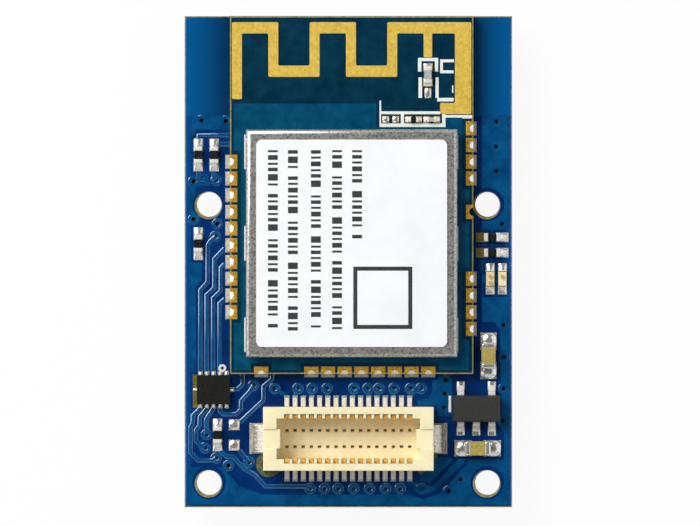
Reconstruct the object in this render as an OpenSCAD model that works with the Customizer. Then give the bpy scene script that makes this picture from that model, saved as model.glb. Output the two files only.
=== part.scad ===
// Wireless module: a shielded radio module soldered to a small stacking carrier board.
// The origin is the centre of the four mounting holes, on the underside of the carrier board.
// X runs across the board, Y from the stacking socket to the antenna, Z up from the parts side.

/* [Carrier board] */
// Thickness of the carrier board
board_t = 0.8; // [0.6:0.1:1.6]
// Width of the carrier to the left of the radio module
left_strip = 2.775; // [2.65:0.025:4]
// Width of the carrier to the right of the radio module
right_strip = 2.375; // [2.3:0.025:4]
// Length of the carrier from its socket end to the radio module
front_l = 8.15; // [8.05:0.05:10]
// Distance of a mounting hole's centre from the carrier's edges
hole_inset = 1.5; // [1.3:0.1:1.6]
// Distance between the two rows of mounting holes along the carrier
hole_rows = 17; // [16.5:0.5:20]
// Diameter of a mounting hole
hole_d = 1.5; // [1.2:0.1:1.8]
// Diameter of a drilled via
via_d = 0.25; // [0.15:0.05:0.3]
// Thickness of the copper lands
copper_t = 0.04; // [0.02:0.01:0.08]
// Margin of a land around the piece soldered to it
land_margin = 0.04; // [0.02:0.01:0.06]

/* [Radio module] */
// Thickness of the module's board
module_t = 0.8; // [0.6:0.1:1.2]
// Length of the module from the can to its antenna end
antenna_zone = 6.93; // [6.7:0.01:9]
// Length of the module from the can to its socket end
module_tail = 1.02; // [0.9:0.02:2]
// Width of the module's board beside the can
can_side = 0.975; // [0.9:0.025:2]
// Pitch of the castellated pads
pad_pitch = 1.02; // [1:0.01:1.1]
// Width of a castellated pad along the edge
pad_w = 0.86; // [0.76:0.02:0.94]
// Depth of a castellated pad in from the edge
pad_depth = 0.45; // [0.4:0.05:0.6]
// Radius of a castellated half-hole
pad_hole_r = 0.3; // [0.24:0.02:0.34]
// Thickness of the plating in a half-hole
plating_t = 0.05; // [0.03:0.01:0.08]
// Reach of the solder outside the module's left edge
left_toe = 0.25; // [0.15:0.01:0.35]
// Reach of the solder outside the module's right edge
right_toe = 0.17; // [0.15:0.01:0.35]
// Reach of the solder outside the module's socket end
end_toe = 0.17; // [0.15:0.01:0.35]
// Distance of the lowest edge pad from the module's socket end
first_row = 2.75; // [2.5:0.05:3]
// Distance of the first end pad from the module's left edge
first_column = 1.905; // [1.7:0.05:2.1]

/* [Antenna] */
// Width of an antenna bar that runs along the module
antenna_bar = 0.61; // [0.5:0.01:0.7]
// Width of an antenna bar that runs across the module
antenna_cross = 0.69; // [0.5:0.01:0.8]
// Gap between bars that are joined at the antenna end
antenna_gap_far = 1.61; // [1.4:0.01:1.7]
// Gap between bars that are joined at the can side
antenna_gap_near = 1.91; // [1.7:0.01:2]
// Depth of the meander
antenna_depth = 3.34; // [3:0.02:3.8]
// Length of the open leg
antenna_leg = 4.7; // [4:0.05:5]
// Length of the feed stub
antenna_feed = 2.15; // [1.8:0.05:2.2]
// Width of the feed stub
antenna_feed_w = 0.52; // [0.4:0.02:0.6]
// Width of the grounded leg
antenna_ground = 1; // [0.8:0.05:1.2]
// Length of the grounded leg's foot
antenna_foot = 0.9; // [0.7:0.05:1.1]
// Distance of the foot from the can
antenna_foot_gap = 0.93; // [0.85:0.01:1.2]
// Margin of the antenna from the antenna end of the module
antenna_margin = 0.38; // [0.2:0.01:0.45]
// Margin of the antenna from the module's side edges
antenna_side = 0.12; // [0.05:0.01:0.15]

/* [Shield can] */
// Width of the can
can_w = 12.9; // [12.4:0.1:16]
// Length of the can
can_l = 13.9; // [13:0.1:16]
// Height of the can
can_h = 1.3; // [1.2:0.05:2]
// Thickness of the can's sheet
can_t = 0.2; // [0.12:0.02:0.24]
// Outer radius of the can's bends
can_bend = 0.35; // [0.28:0.01:0.5]
// Size of the relief at each of the can's corners
can_relief = 0.3; // [0.26:0.01:0.4]
// Height of the notches between the can's feet
can_notch_h = 0.25; // [0.15:0.05:0.4]
// Length of the notches between the can's feet
can_notch_l = 2.85; // [2:0.05:3]
// Reach of the solder at the can's left feet
can_left_solder = 0.22; // [0.1:0.02:0.3]
// Reach of the solder at the can's right feet
can_right_solder = 0.1; // [0.06:0.02:0.3]
// Distance of the label from the can's edges
label_inset = 0.63; // [0.5:0.01:1]
// Thickness of the label
label_t = 0.08; // [0.05:0.01:0.12]
// Corner radius of the label
label_r = 0.37; // [0.1:0.01:0.8]

/* [Parts under the can] */
// Width of the radio chip
radio_w = 5; // [4:0.5:6]
// Height of the radio chip
radio_h = 0.85; // [0.6:0.05:0.95]
// Place of the radio chip from the can's middle
radio_at = [1.4, -1.6]; // [-2:0.1:2]
// Length of the memory chip
memory_l = 3; // [2:0.5:4]
// Width of the memory chip
memory_w = 2; // [1.5:0.5:3]
// Height of the memory chip
memory_h = 0.6; // [0.4:0.05:0.9]
// Place of the memory chip from the can's middle
memory_at = [-3.8, -4]; // [-5:0.1:5]
// Length of the crystal
crystal_l = 3.2; // [2:0.1:3.4]
// Width of the crystal
crystal_w = 2.5; // [1.6:0.1:2.6]
// Height of the crystal's base
crystal_base = 0.45; // [0.3:0.05:0.6]
// Height of the crystal's lid
crystal_lid = 0.2; // [0.1:0.05:0.3]
// Step from the crystal's base to its lid
crystal_step = 0.15; // [0.1:0.05:0.3]
// Place of the crystal from the can's middle
crystal_at = [-3.6, 0.4]; // [-5:0.1:5]
// Length of the power inductor
inductor_l = 2; // [1.6:0.1:2.5]
// Width of the power inductor
inductor_w = 1.6; // [0.8:0.1:2]
// Height of the power inductor
inductor_h = 0.85; // [0.6:0.05:0.95]
// Thickness of the power inductor's flanges
inductor_flange = 0.22; // [0.15:0.01:0.25]
// Step from the power inductor's flanges to its winding
inductor_step = 0.2; // [0.1:0.05:0.3]
// Place of the power inductor from the can's middle
inductor_at = [4.1, 3.9]; // [-5:0.1:5]
// Place of the first inner capacitor from the can's middle
inner_at = [-4.6, 4.6]; // [-5:0.1:5]
// Pitch of the inner capacitors
inner_pitch = 1.5; // [1:0.1:1.6]

/* [Stacking socket] */
// Number of contacts in a row
contact_count = 16; // [12:1:17]
// Pitch of the contacts
contact_pitch = 0.5; // [0.45:0.01:0.52]
// Width of a contact
contact_w = 0.26; // [0.2:0.01:0.3]
// Thickness of a contact
contact_t = 0.15; // [0.1:0.01:0.18]
// Reach of a contact's bump from its beam
bump_d = 0.08; // [0.05:0.01:0.1]
// Height of a contact's bump
bump_h = 0.5; // [0.4:0.05:0.6]
// Depth of a contact's tip below the housing's rim
tip_drop = 0.2; // [0.1:0.02:0.3]
// Reach of a contact's tail outside the housing
contact_tail = 0.56; // [0.5:0.02:0.7]
// Reach of the solder past a contact's tail
contact_toe = 0.08; // [0.06:0.02:0.14]
// Distance of the socket's middle from the carrier's socket end
socket_inset = 4.2; // [4.1:0.05:5]
// Height of the socket
socket_h = 2.4; // [2:0.1:3]
// Thickness of the socket's floor
socket_floor = 0.5; // [0.4:0.05:0.7]
// Thickness of the socket's long walls
socket_wall = 0.7; // [0.66:0.02:0.9]
// Thickness of the socket's end walls
socket_end = 0.825; // [0.7:0.025:0.95]
// Width of the socket's cavity
cavity_w = 2.48; // [2.3:0.02:2.6]
// Length of the cavity past the last contact
cavity_end = 0.625; // [0.55:0.025:0.7]
// Width of the key in each end of the cavity
key_w = 1.18; // [0.8:0.02:1.4]
// Reach of the key into the cavity
key_d = 0.22; // [0.15:0.01:0.3]
// Depth of the key below the socket's rim
key_drop = 0.12; // [0.05:0.01:0.2]
// Length of the sloped entry inside each end of the rim
lead_in = 0.25; // [0.15:0.05:0.3]
// Distance of the floor's pockets from the socket's middle line
pocket_offset = 0.5; // [0.4:0.05:0.6]
// Length of a floor pocket
pocket_l = 0.2; // [0.15:0.01:0.25]
// Width of a floor pocket
pocket_w = 0.16; // [0.1:0.01:0.2]
// Depth of a floor pocket
pocket_d = 0.14; // [0.1:0.01:0.15]
// Clearance of a contact or tab in its slot
fit_gap = 0.03; // [0.02:0.01:0.05]
// Width of a hold-down tab
tab_w = 1.8; // [1.4:0.1:2]
// Reach of a hold-down tab outside the housing
tab_l = 0.72; // [0.5:0.02:0.8]
// Height of a hold-down tab in the housing
tab_h = 1; // [0.7:0.1:1.3]

/* [Stacking header] */
// Height of the header
header_h = 1.9; // [1.7:0.1:2.2]
// Thickness of the header's base
header_base = 0.6; // [0.5:0.05:0.7]
// Overhang of the header's base past the socket's outline, along the contact rows
header_end = 0.5; // [0.4:0.05:0.6]
// Overhang of the header's base past the socket's outline, across the contact rows
header_side = 0.4; // [0.36:0.02:0.5]
// Clearance of the header's block in the socket's cavity
mating_gap = 0.1; // [0.06:0.02:0.14]
// Height of the block's plain nose past its contacts
nose_h = 0.15; // [0.1:0.01:0.18]
// Distance of the locating pegs from the socket's end faces
peg_end = 0.33; // [0.25:0.01:0.4]
// Distance of the locating pegs from the socket's front face
peg_side = 0.36; // [0.35:0.01:0.5]
// Diameter of the two locating holes in the carrier
locating_d = 0.9; // [0.8:0.05:1.1]
// Clearance of a locating peg in its hole
peg_gap = 0.07; // [0.04:0.01:0.1]
// Height of a locating peg
peg_h = 0.45; // [0.3:0.05:0.5]

/* [Chips] */
// Length of a chip resistor
chip_l = 1; // [0.9:0.05:1.2]
// Width of a chip resistor
chip_w = 0.5; // [0.4:0.05:0.6]
// Height of a chip resistor
chip_h = 0.35; // [0.3:0.05:0.5]
// Length of a chip resistor's metal ends
chip_end = 0.25; // [0.15:0.05:0.3]
// Reach of the solder past a chip resistor
chip_toe = 0.46; // [0.3:0.02:0.5]
// Length of a chip capacitor
cap_l = 1.6; // [1.4:0.05:1.8]
// Width of a chip capacitor
cap_w = 0.9; // [0.7:0.05:1]
// Height of a chip capacitor
cap_h = 0.8; // [0.6:0.05:0.95]
// Length of a chip capacitor's metal ends
cap_end = 0.4; // [0.3:0.05:0.5]
// Height of the solder on a chip capacitor's ends
cap_rise = 0.55; // [0.4:0.05:0.6]
// Reach of the solder past a chip capacitor
cap_toe = 0.58; // [0.4:0.02:0.6]
// Length of a chip lamp
lamp_l = 1.1; // [1:0.05:1.3]
// Width of a chip lamp
lamp_w = 0.55; // [0.45:0.05:0.6]
// Height of a chip lamp
lamp_h = 0.45; // [0.4:0.05:0.6]
// Length of a chip lamp's metal ends
lamp_end = 0.09; // [0.06:0.01:0.15]
// Slope of a chip lamp's lens
lamp_slope = 0.03; // [0.01:0.01:0.05]
// Height of a chip lamp's base
lamp_base = 0.15; // [0.1:0.01:0.2]
// Reach of the solder past a chip lamp
lamp_toe = 0.36; // [0.3:0.02:0.44]
// Width of the solder at a chip lamp
lamp_solder_w = 0.46; // [0.36:0.02:0.5]
// Length of a matching chip
tiny_l = 0.6; // [0.5:0.05:0.66]
// Width of a matching chip
tiny_w = 0.32; // [0.25:0.01:0.36]
// Height of a matching chip
tiny_h = 0.3; // [0.2:0.02:0.35]
// Length of a matching chip's metal ends
tiny_end = 0.15; // [0.1:0.01:0.2]
// Reach of the solder past a matching chip
tiny_toe = 0.17; // [0.1:0.01:0.18]
// Thickness of the metal on a chip's ends
end_t = 0.02; // [0.01:0.005:0.03]
// Height of the solder's outer lip
solder_lip = 0.03; // [0.02:0.01:0.05]
// Crown of the solder on a land with no chip
solder_crown = 0.16; // [0.1:0.02:0.2]

/* [Level shifter] */
// Length of the level shifter's body
shifter_l = 2.03; // [1.9:0.01:2.2]
// Width of the level shifter's body
shifter_w = 1.77; // [1.6:0.01:1.9]
// Height of the level shifter's body
shifter_h = 0.5; // [0.4:0.05:0.8]
// Pitch of the level shifter's terminals
terminal_pitch = 0.4; // [0.36:0.01:0.43]
// Width of a terminal
terminal_w = 0.2; // [0.16:0.01:0.24]
// Length of a terminal under the body
terminal_l = 0.3; // [0.2:0.05:0.4]
// Thickness of a terminal
terminal_t = 0.05; // [0.03:0.01:0.08]
// Width of the bare strip of land beside the level shifter
strip_w = 0.24; // [0.15:0.01:0.26]
// Reach of the solder past a terminal
terminal_toe = 0.22; // [0.15:0.01:0.24]

/* [Regulator] */
// Length of the regulator's body
reg_l = 2.9; // [2.7:0.05:3.1]
// Width of the regulator's body
reg_w = 1.62; // [1.5:0.02:1.8]
// Height of the regulator's body
reg_h = 1.05; // [0.9:0.05:1.3]
// Pitch of the leads
lead_pitch = 0.95; // [0.9:0.05:1]
// Width of a lead
lead_w = 0.42; // [0.3:0.02:0.5]
// Thickness of a lead
lead_t = 0.14; // [0.1:0.02:0.18]
// Reach of a lead past the body
lead_reach = 0.6; // [0.5:0.02:0.7]
// Length of a lead's foot
lead_foot = 0.34; // [0.25:0.01:0.4]
// Reach of the solder past a lead
lead_toe = 0.2; // [0.12:0.02:0.22]
// Draft of the regulator's faces
reg_draft = 0.08; // [0.04:0.01:0.12]
// Distance of the body from the carrier's lands
reg_lift = 0.08; // [0.05:0.01:0.15]

/* [Layout on the module] */
// Distance of the matching chips from the can
match_row = 0.61; // [0.55:0.01:0.7]
// Distance of the first matching chip from the feed stub
match_left = 0.87; // [0.8:0.01:1]
// Distance of the second matching chip from the feed stub
match_right = 0.23; // [0.2:0.01:0.3]
// Distance of the feed chip from the antenna end of the module
feed_row = 3.6; // [3.4:0.05:3.7]
// Distance of the feed chip's spare land from the feed chip
spare_row = 1.11; // [1.05:0.01:1.15]
// Length of the feed chip's spare land
spare_l = 0.62; // [0.5:0.01:0.66]
// Width of a spare land on the module
spare_w = 0.41; // [0.3:0.01:0.45]
// Pitch of the pair of spare lands
spare_pitch = 0.61; // [0.55:0.01:0.65]
// Distance of that pair's middle from the first matching chip
spare_column = 1.4; // [1.3:0.01:1.6]

/* [Layout on the carrier] */
// Distance of the first resistor column from the carrier's left edge
left_column = 0.83; // [0.8:0.01:0.95]
// Step to the second resistor column
left_step = 0.97; // [0.9:0.01:1.05]
// Distance of the resistor pair from the carrier's right edge
right_column = 1.215; // [1.15:0.005:1.3]
// Step between the two resistors of that pair
right_step = 0.94; // [0.85:0.01:1]
// Distance of the outer lamp from the carrier's right edge
lamp_column = 0.59; // [0.5:0.01:0.65]
// Step to the inner lamp
lamp_step = 0.745; // [0.7:0.005:0.8]
// Distance of the upright capacitor from the carrier's right edge
cap_column = 1.44; // [1.3:0.01:1.5]
// Distance of the regulator from the carrier's right edge
reg_column = 2.19; // [2.1:0.01:2.25]
// Distance of the regulator from the module's socket end
reg_row = 2.12; // [2.05:0.01:2.3]
// Distance of the flat capacitor from the regulator, towards the socket end
reg_cap_row = 2.43; // [2.4:0.01:2.6]
// Distance of the flat capacitor from the regulator, towards the right edge
reg_cap_shift = 0.09; // [0:0.01:0.1]
// Distance of the upright capacitor from the module's socket end
cap_row = 1.1; // [1:0.05:1.5]
// Distance of the upper resistor pair from the upper mounting holes
upper_pair_row = 3.02; // [2.8:0.02:3.4]
// Distance of the lower left resistor from the upper mounting holes
left_row = 2.4; // [2.3:0.05:3]
// Distance of the right resistor pair from the upper mounting holes
right_row = 2.01; // [1.8:0.01:2.1]
// Distance of the lamps from the upper mounting holes
lamp_row = 4.545; // [4.5:0.005:4.9]
// Distance of the socket-end resistor from the carrier's left edge
pull_column = 2.01; // [1.9:0.01:2.1]
// Distance of the socket-end resistor from the level shifter
pull_row = 2.77; // [2.6:0.01:2.9]
// Distance of the bare lands from the socket-end resistor
bare_column = 1.02; // [0.9:0.01:1.05]
// Pitch of the bare lands
bare_pitch = 1.25; // [1:0.05:1.4]
// Size of a bare land on the carrier
bare_land_w = 0.67; // [0.5:0.01:0.7]
// Gap between the module's socket end and the level shifter
shifter_gap = 0.08; // [0.05:0.01:0.2]
// Distance of the level shifter from the carrier's left edge
shifter_column = 1.76; // [1.7:0.01:1.9]

/* [Hidden] */
$fn = 32;
meniscus_steps = 8;
overrun = 0.1;

// Plan sizes that follow from the pieces they hold
module_w = can_w + 2 * can_side;
module_l = module_tail + can_l + antenna_zone;
board_w = left_strip + module_w + right_strip;
board_l = front_l + module_l;
hole_columns = board_w - 2 * hole_inset;
board_x0 = -board_w / 2;
board_x1 = board_w / 2;
board_y0 = -hole_rows / 2 - hole_inset;
upper_row = hole_rows / 2;
module_x0 = board_x0 + left_strip;
module_x1 = module_x0 + module_w;
module_y0 = board_y0 + front_l;
module_y1 = module_y0 + module_l;
can_x = module_x0 + module_w / 2;
can_y = module_y0 + module_tail + can_l / 2;
can_y1 = can_y + can_l / 2;

// Heights of the surfaces that pieces stand on
land_z = board_t + copper_t;
module_z = land_z + copper_t;
module_top = module_z + module_t;
module_land_z = module_top + copper_t;

// Socket and header sizes
row_l = (contact_count - 1) * contact_pitch;
cavity_l = row_l + 2 * cavity_end;
socket_l = cavity_l + 2 * socket_end;
socket_w = cavity_w + 2 * socket_wall;
socket_y = board_y0 + socket_inset;
slot_w = contact_w + 2 * fit_gap;
tail_top = copper_t + contact_t;
beam_in = cavity_w / 2 + bump_d;
beam_out = beam_in + contact_t;
header_l = socket_l + 2 * header_end;
header_w = socket_w + 2 * header_side;
block_l = cavity_l - 2 * mating_gap;
block_w = cavity_w - 2 * mating_gap;
contact_proud = mating_gap / 2;
flank_out = block_w / 2 + contact_proud;
flank_in = flank_out - contact_t;
channel_in = flank_in - fit_gap;
channel_out = flank_out + fit_gap;
peg_x = socket_l / 2 - peg_end;
peg_y = -socket_w / 2 + peg_side;
peg_d = locating_d - 2 * peg_gap;

// Places of the castellated pads: x, y, the turn that faces them outwards and their solder's reach
left_rows = [1 : 10];
right_rows = [0, 1, 2, 3, 7, 9, 10, 11, 12];
end_columns = [0, 3, 4, 5, 6, 7, 8, 9, 10];
module_pads = concat(
    [for (k = left_rows) [module_x0, module_y0 + first_row + k * pad_pitch, -90, left_toe]],
    [for (k = right_rows) [module_x1, module_y0 + first_row + k * pad_pitch, 90, right_toe]],
    [for (k = end_columns) [module_x0 + first_column + k * pad_pitch, module_y0, 0, end_toe]]
);
hole_places = [for (x = [-1, 1]) for (y = [-1, 1]) [x * hole_columns / 2, y * hole_rows / 2]];

// A pad whose land would run into a mounting hole has no land and no solder
function near_hole(p, h) =
    abs(p[0] - h[0]) < hole_d / 2 + p[3] + land_margin && abs(p[1] - h[1]) < hole_d / 2 + pad_w / 2;
function clear_of_holes(p) = len([for (h = hole_places) if (near_hole(p, h)) 1]) == 0;
soldered_pads = [for (p = module_pads) if (clear_of_holes(p)) p];

// Places of the chips: x, y and turn
reg_x = board_x1 - reg_column;
reg_y = module_y0 - reg_row;
shifter_x = board_x0 + shifter_column;
shifter_y = module_y0 - shifter_gap - shifter_w / 2;
upper_pair_y = upper_row + upper_pair_row;
resistor_places = [
    [board_x0 + left_column, upper_pair_y, 90],
    [board_x0 + left_column + left_step, upper_pair_y, 90],
    [board_x0 + left_column, upper_row - left_row, 90],
    [board_x0 + pull_column, shifter_y - pull_row, 90],
    [board_x1 - right_column, upper_row - right_row, 0],
    [board_x1 - right_column, upper_row - right_row - right_step, 0]
];
lamp_y = upper_row - lamp_row;
lamp_places = [
    [board_x1 - lamp_column - lamp_step, lamp_y, 90],
    [board_x1 - lamp_column, lamp_y, 90]
];
capacitor_places = [
    [board_x1 - cap_column, module_y0 + cap_row, 90],
    [reg_x + reg_cap_shift, reg_y - reg_cap_row, 0]
];
bare_land = [bare_land_w, bare_land_w];
bare_x = resistor_places[3][0] + bare_column;
bare_places = [for (s = [-1, 1]) [bare_x, resistor_places[3][1] + s * bare_pitch / 2]];

// Places of the chips on the module
match_y = can_y1 + match_row;
feed_x = module_x0 + antenna_side + 3 * antenna_gap_far + 2 * antenna_gap_near + 5 * antenna_bar;
feed_part = [feed_x + antenna_feed_w / 2, module_y1 - feed_row, 90];
match_places = [
    [feed_part[0] - match_left, match_y, 0],
    [feed_part[0] + match_right, match_y, 0]
];
module_bare_land = [spare_w, spare_w];
feed_spare_land = [spare_w, spare_l];
spare_x = match_places[0][0] - spare_column;
module_bare_places = [for (s = [-1, 1]) [spare_x + s * spare_pitch / 2, match_y]];
feed_spare_place = [feed_part[0], feed_part[1] - spare_row];

// Drilled vias, measured from the left edge, the right edge or the socket's middle
left_vias = [
    [1.03, upper_row + 5.12], [2.5, upper_row + 5.09], [0.54, upper_row + 1.41], [1.92, upper_row + 1.48],
    [0.54, upper_row - 0.91], [2, upper_row - 1.19], [1.88, upper_row - 1.95], [4.2, module_y0 - 0.7],
    [1.34, socket_y + 0.25], [1.24, socket_y - 0.58], [1.92, socket_y - 1.19], [2.68, socket_y - 1.65],
    [3.93, socket_y - 1.43]
];
right_vias = [
    [0.95, upper_row + 5.06], [0.98, upper_row + 3.53], [0.98, upper_row + 2.03], [0.61, upper_row - 1.19],
    [0.51, module_y0 + 2.98], [0.48, module_y0 + 1.02], [0.52, module_y0 - 0.91], [0.55, module_y0 - 2.87],
    [4.07, module_y0 - 0.39], [4.1, module_y0 - 1.21], [4.16, module_y0 - 2.05], [3.88, socket_y - 3.21],
    [3.14, socket_y - 2.5]
];
far_via_row = [-4.51, -3.08, -2.22, -1.3, 0.33, 1.19, 1.87, 2.78, 3.8, 4.44];
near_via_row = [-2.34, -1.46, -0.63, 0.32, 1.29, 2.27, 3.16, 4.47];
via_row_gap = 0.48;
far_row_y = socket_y + socket_w / 2 + contact_tail + contact_toe + via_row_gap;
near_row_y = socket_y - socket_w / 2 - contact_tail - contact_toe - via_row_gap;
via_places = concat(
    [for (v = left_vias) [board_x0 + v[0], v[1]]],
    [for (v = right_vias) [board_x1 - v[0], v[1]]],
    [for (x = far_via_row) [x, far_row_y]],
    [for (x = near_via_row) [x, near_row_y]]
);

blue = "#0d4d86";
teal = "#0b3d58";
gold = "#d8b040";
tin = "#c6c5bf";
steel = "#9b9a95";
cream = "#eee0b6";
black = "#20211f";
grey = "#8d8c86";
tan = "#a9964e";
lens = "#e9dc9c";
paper = "#f4f4f2";

module place(p) {
    translate([p[0], p[1], 0])
        rotate(p[2])
            children();
}

// Box centred on x and y, standing on z = 0
module slab(l, w, h) {
    translate([-l / 2, -w / 2, 0])
        cube([l, w, h]);
}

module rounded_rectangle(l, w, r) {
    square([l, w - 2 * r], center = true);
    square([l - 2 * r, w], center = true);
    for (x = [-1, 1])
        for (y = [-1, 1])
            translate([x * (l / 2 - r), y * (w / 2 - r)])
                circle(r);
}

// Section of a hollow solder fillet that rises from its lip to the metal it wets
function meniscus(reach, rise) = concat(
    [[0, 0], [reach, 0]],
    [for (i = [0 : meniscus_steps])
        [reach * (1 - i / meniscus_steps), solder_lip + (rise - solder_lip) * pow(i / meniscus_steps, 2)]]
);

module fillet(reach, rise, w) {
    rotate([90, 0, 0])
        linear_extrude(w, center = true)
            polygon(meniscus(reach, rise));
}

// Solder that crowns a land with no chip on it
module pillow(size, crown) {
    radius = (size[0] * size[0] / 4 + crown * crown) / (2 * crown);
    intersection() {
        slab(size[0], size[1], crown);
        translate([0, 0, crown - radius])
            rotate([90, 0, 0])
                cylinder(r = radius, h = size[1], center = true);
    }
}

// A chip has a body and two metal ends that wrap round it
module chip_core(l, w, h) {
    translate([0, 0, end_t])
        slab(l - 2 * end_t, w - 2 * end_t, h - 2 * end_t);
}

module chip_ends(l, w, h, end) {
    for (s = [-1, 1])
        difference() {
            translate([s * (l - end) / 2, 0, 0])
                slab(end, w, h);
            chip_core(l, w, h);
        }
}

module chip_lands(l, w, end, toe) {
    reach = end + toe + 2 * land_margin;
    for (s = [-1, 1])
        translate([s * (l / 2 + toe + land_margin - reach / 2), 0, 0])
            slab(reach, w + 2 * land_margin, copper_t);
}

module chip_fillets(l, w, rise, toe) {
    for (turn = [0, 180])
        rotate(turn)
            translate([l / 2, 0, 0])
                fillet(toe, rise, w);
}

module carrier_board() {
    color(blue)
        difference() {
            translate([board_x0, board_y0, 0])
                cube([board_w, board_l, board_t]);
            for (h = hole_places)
                translate([h[0], h[1], -overrun])
                    cylinder(d = hole_d, h = board_t + 2 * overrun);
            for (s = [-1, 1])
                translate([s * peg_x, socket_y + peg_y, -overrun])
                    cylinder(d = locating_d, h = board_t + 2 * overrun);
            for (v = via_places)
                translate([v[0], v[1], -overrun])
                    cylinder(d = via_d, h = board_t + 2 * overrun);
        }
}

module carrier_lands() {
    color(gold)
        translate([0, 0, board_t]) {
            for (p = soldered_pads)
                place(p)
                    translate([-pad_w / 2, -p[3] - land_margin, 0])
                        cube([pad_w, p[3] + land_margin + pad_depth, copper_t]);
            for (p = resistor_places)
                place(p)
                    chip_lands(chip_l, chip_w, chip_end, chip_toe);
            for (p = lamp_places)
                place(p)
                    chip_lands(lamp_l, lamp_solder_w, lamp_end, lamp_toe);
            for (p = capacitor_places)
                place(p)
                    chip_lands(cap_l, cap_w, cap_end, cap_toe);
            for (p = bare_places)
                translate(p)
                    slab(bare_land[0], bare_land[1], copper_t);
            translate([0, socket_y, 0])
                connector_lands(socket_l, socket_w);
            translate([shifter_x, shifter_y, 0])
                shifter_lands();
            translate([reg_x, reg_y, 0])
                regulator_lands();
        }
}

module underside_lands() {
    color(gold)
        translate([0, socket_y, -copper_t])
            connector_lands(header_l, header_w);
}

module module_board() {
    color(teal)
        difference() {
            translate([module_x0, module_y0, module_z])
                cube([module_w, module_l, module_t]);
            for (p = module_pads)
                translate([p[0], p[1], module_z - overrun])
                    cylinder(r = pad_hole_r, h = module_t + 2 * overrun);
        }
}

// One edge pad: plated on the underside, round the half-hole and on top
module castellation() {
    barrel_h = module_t + 2 * copper_t;
    difference() {
        union() {
            translate([-pad_w / 2, 0, -copper_t])
                cube([pad_w, pad_depth, copper_t]);
            translate([-pad_w / 2, 0, module_t])
                cube([pad_w, pad_depth, copper_t]);
            intersection() {
                translate([0, 0, -copper_t])
                    cylinder(r = pad_hole_r, h = barrel_h);
                translate([-pad_hole_r, 0, -copper_t])
                    cube([2 * pad_hole_r, pad_hole_r, barrel_h]);
            }
        }
        translate([0, 0, -copper_t - overrun])
            cylinder(r = pad_hole_r - plating_t, h = barrel_h + 2 * overrun);
    }
}

module castellation_pads() {
    color(gold)
        translate([0, 0, module_z])
            for (p = module_pads)
                place(p)
                    castellation();
}

// Solder that fills a half-hole and runs out on the carrier's land
module edge_joint(toe) {
    plug_r = pad_hole_r - plating_t;
    joint_w = pad_w - 2 * land_margin;
    joint_h = module_t + copper_t;
    intersection() {
        translate([0, plug_r, 0])
            rotate(-90)
                fillet(plug_r + toe, joint_h, joint_w);
        union() {
            cylinder(r = plug_r, h = joint_h);
            translate([-joint_w / 2, -toe, 0])
                cube([joint_w, toe, joint_h]);
        }
    }
}

module module_solder() {
    color(tin)
        translate([0, 0, land_z])
            for (p = soldered_pads)
                place(p)
                    edge_joint(p[3]);
}

module module_lands() {
    color(gold)
        translate([0, 0, module_top]) {
            place(feed_part)
                chip_lands(chip_l, chip_w, chip_end, tiny_toe);
            for (p = match_places)
                place(p)
                    chip_lands(tiny_l, tiny_w, tiny_end, tiny_toe);
            for (p = module_bare_places)
                translate(p)
                    slab(module_bare_land[0], module_bare_land[1], copper_t);
            translate(feed_spare_place)
                slab(feed_spare_land[0], feed_spare_land[1], copper_t);
        }
}

// Bar of the antenna from the far edge line down to a given depth
module antenna_leg_bar(x, w, length) {
    translate([x, -length])
        square([w, length]);
}

module antenna() {
    near_step = antenna_bar + antenna_gap_near;
    far_step = antenna_bar + antenna_gap_far;
    bars = [far_step, far_step + near_step, 2 * far_step + near_step, 2 * far_step + 2 * near_step];
    span = module_w - 2 * antenna_side;
    ground_l = antenna_zone - antenna_margin - antenna_foot_gap;
    color(gold)
        translate([module_x0 + antenna_side, module_y1 - antenna_margin, module_top])
            linear_extrude(copper_t) {
                antenna_leg_bar(0, antenna_bar, antenna_leg);
                for (x = bars)
                    antenna_leg_bar(x, antenna_bar, antenna_depth);
                antenna_leg_bar(0, bars[0], antenna_cross);
                antenna_leg_bar(bars[1], far_step, antenna_cross);
                antenna_leg_bar(bars[3], span - bars[3], antenna_cross);
                for (x = [bars[0], bars[2]])
                    translate([x, -antenna_depth])
                        square([near_step, antenna_cross]);
                antenna_leg_bar(feed_x - module_x0 - antenna_side, antenna_feed_w, antenna_feed);
                antenna_leg_bar(span - antenna_ground, antenna_ground, ground_l);
                translate([span - antenna_ground - antenna_foot, -ground_l])
                    square([antenna_foot + antenna_ground, antenna_cross]);
            }
}

// Outline of a folded lid seen from its end: straight walls and two bends
module folded_outline(w, h, r) {
    translate([-w / 2, 0])
        square([w, h - r]);
    translate([r - w / 2, 0])
        square([w - 2 * r, h]);
    for (s = [-1, 1])
        translate([s * (w / 2 - r), h - r])
            circle(r);
}

module folded_block(w, l, h, r) {
    intersection() {
        rotate([90, 0, 0])
            linear_extrude(l, center = true)
                folded_outline(w, h, r);
        rotate([90, 0, 90])
            linear_extrude(w, center = true)
                folded_outline(l, h, r);
    }
}

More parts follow.
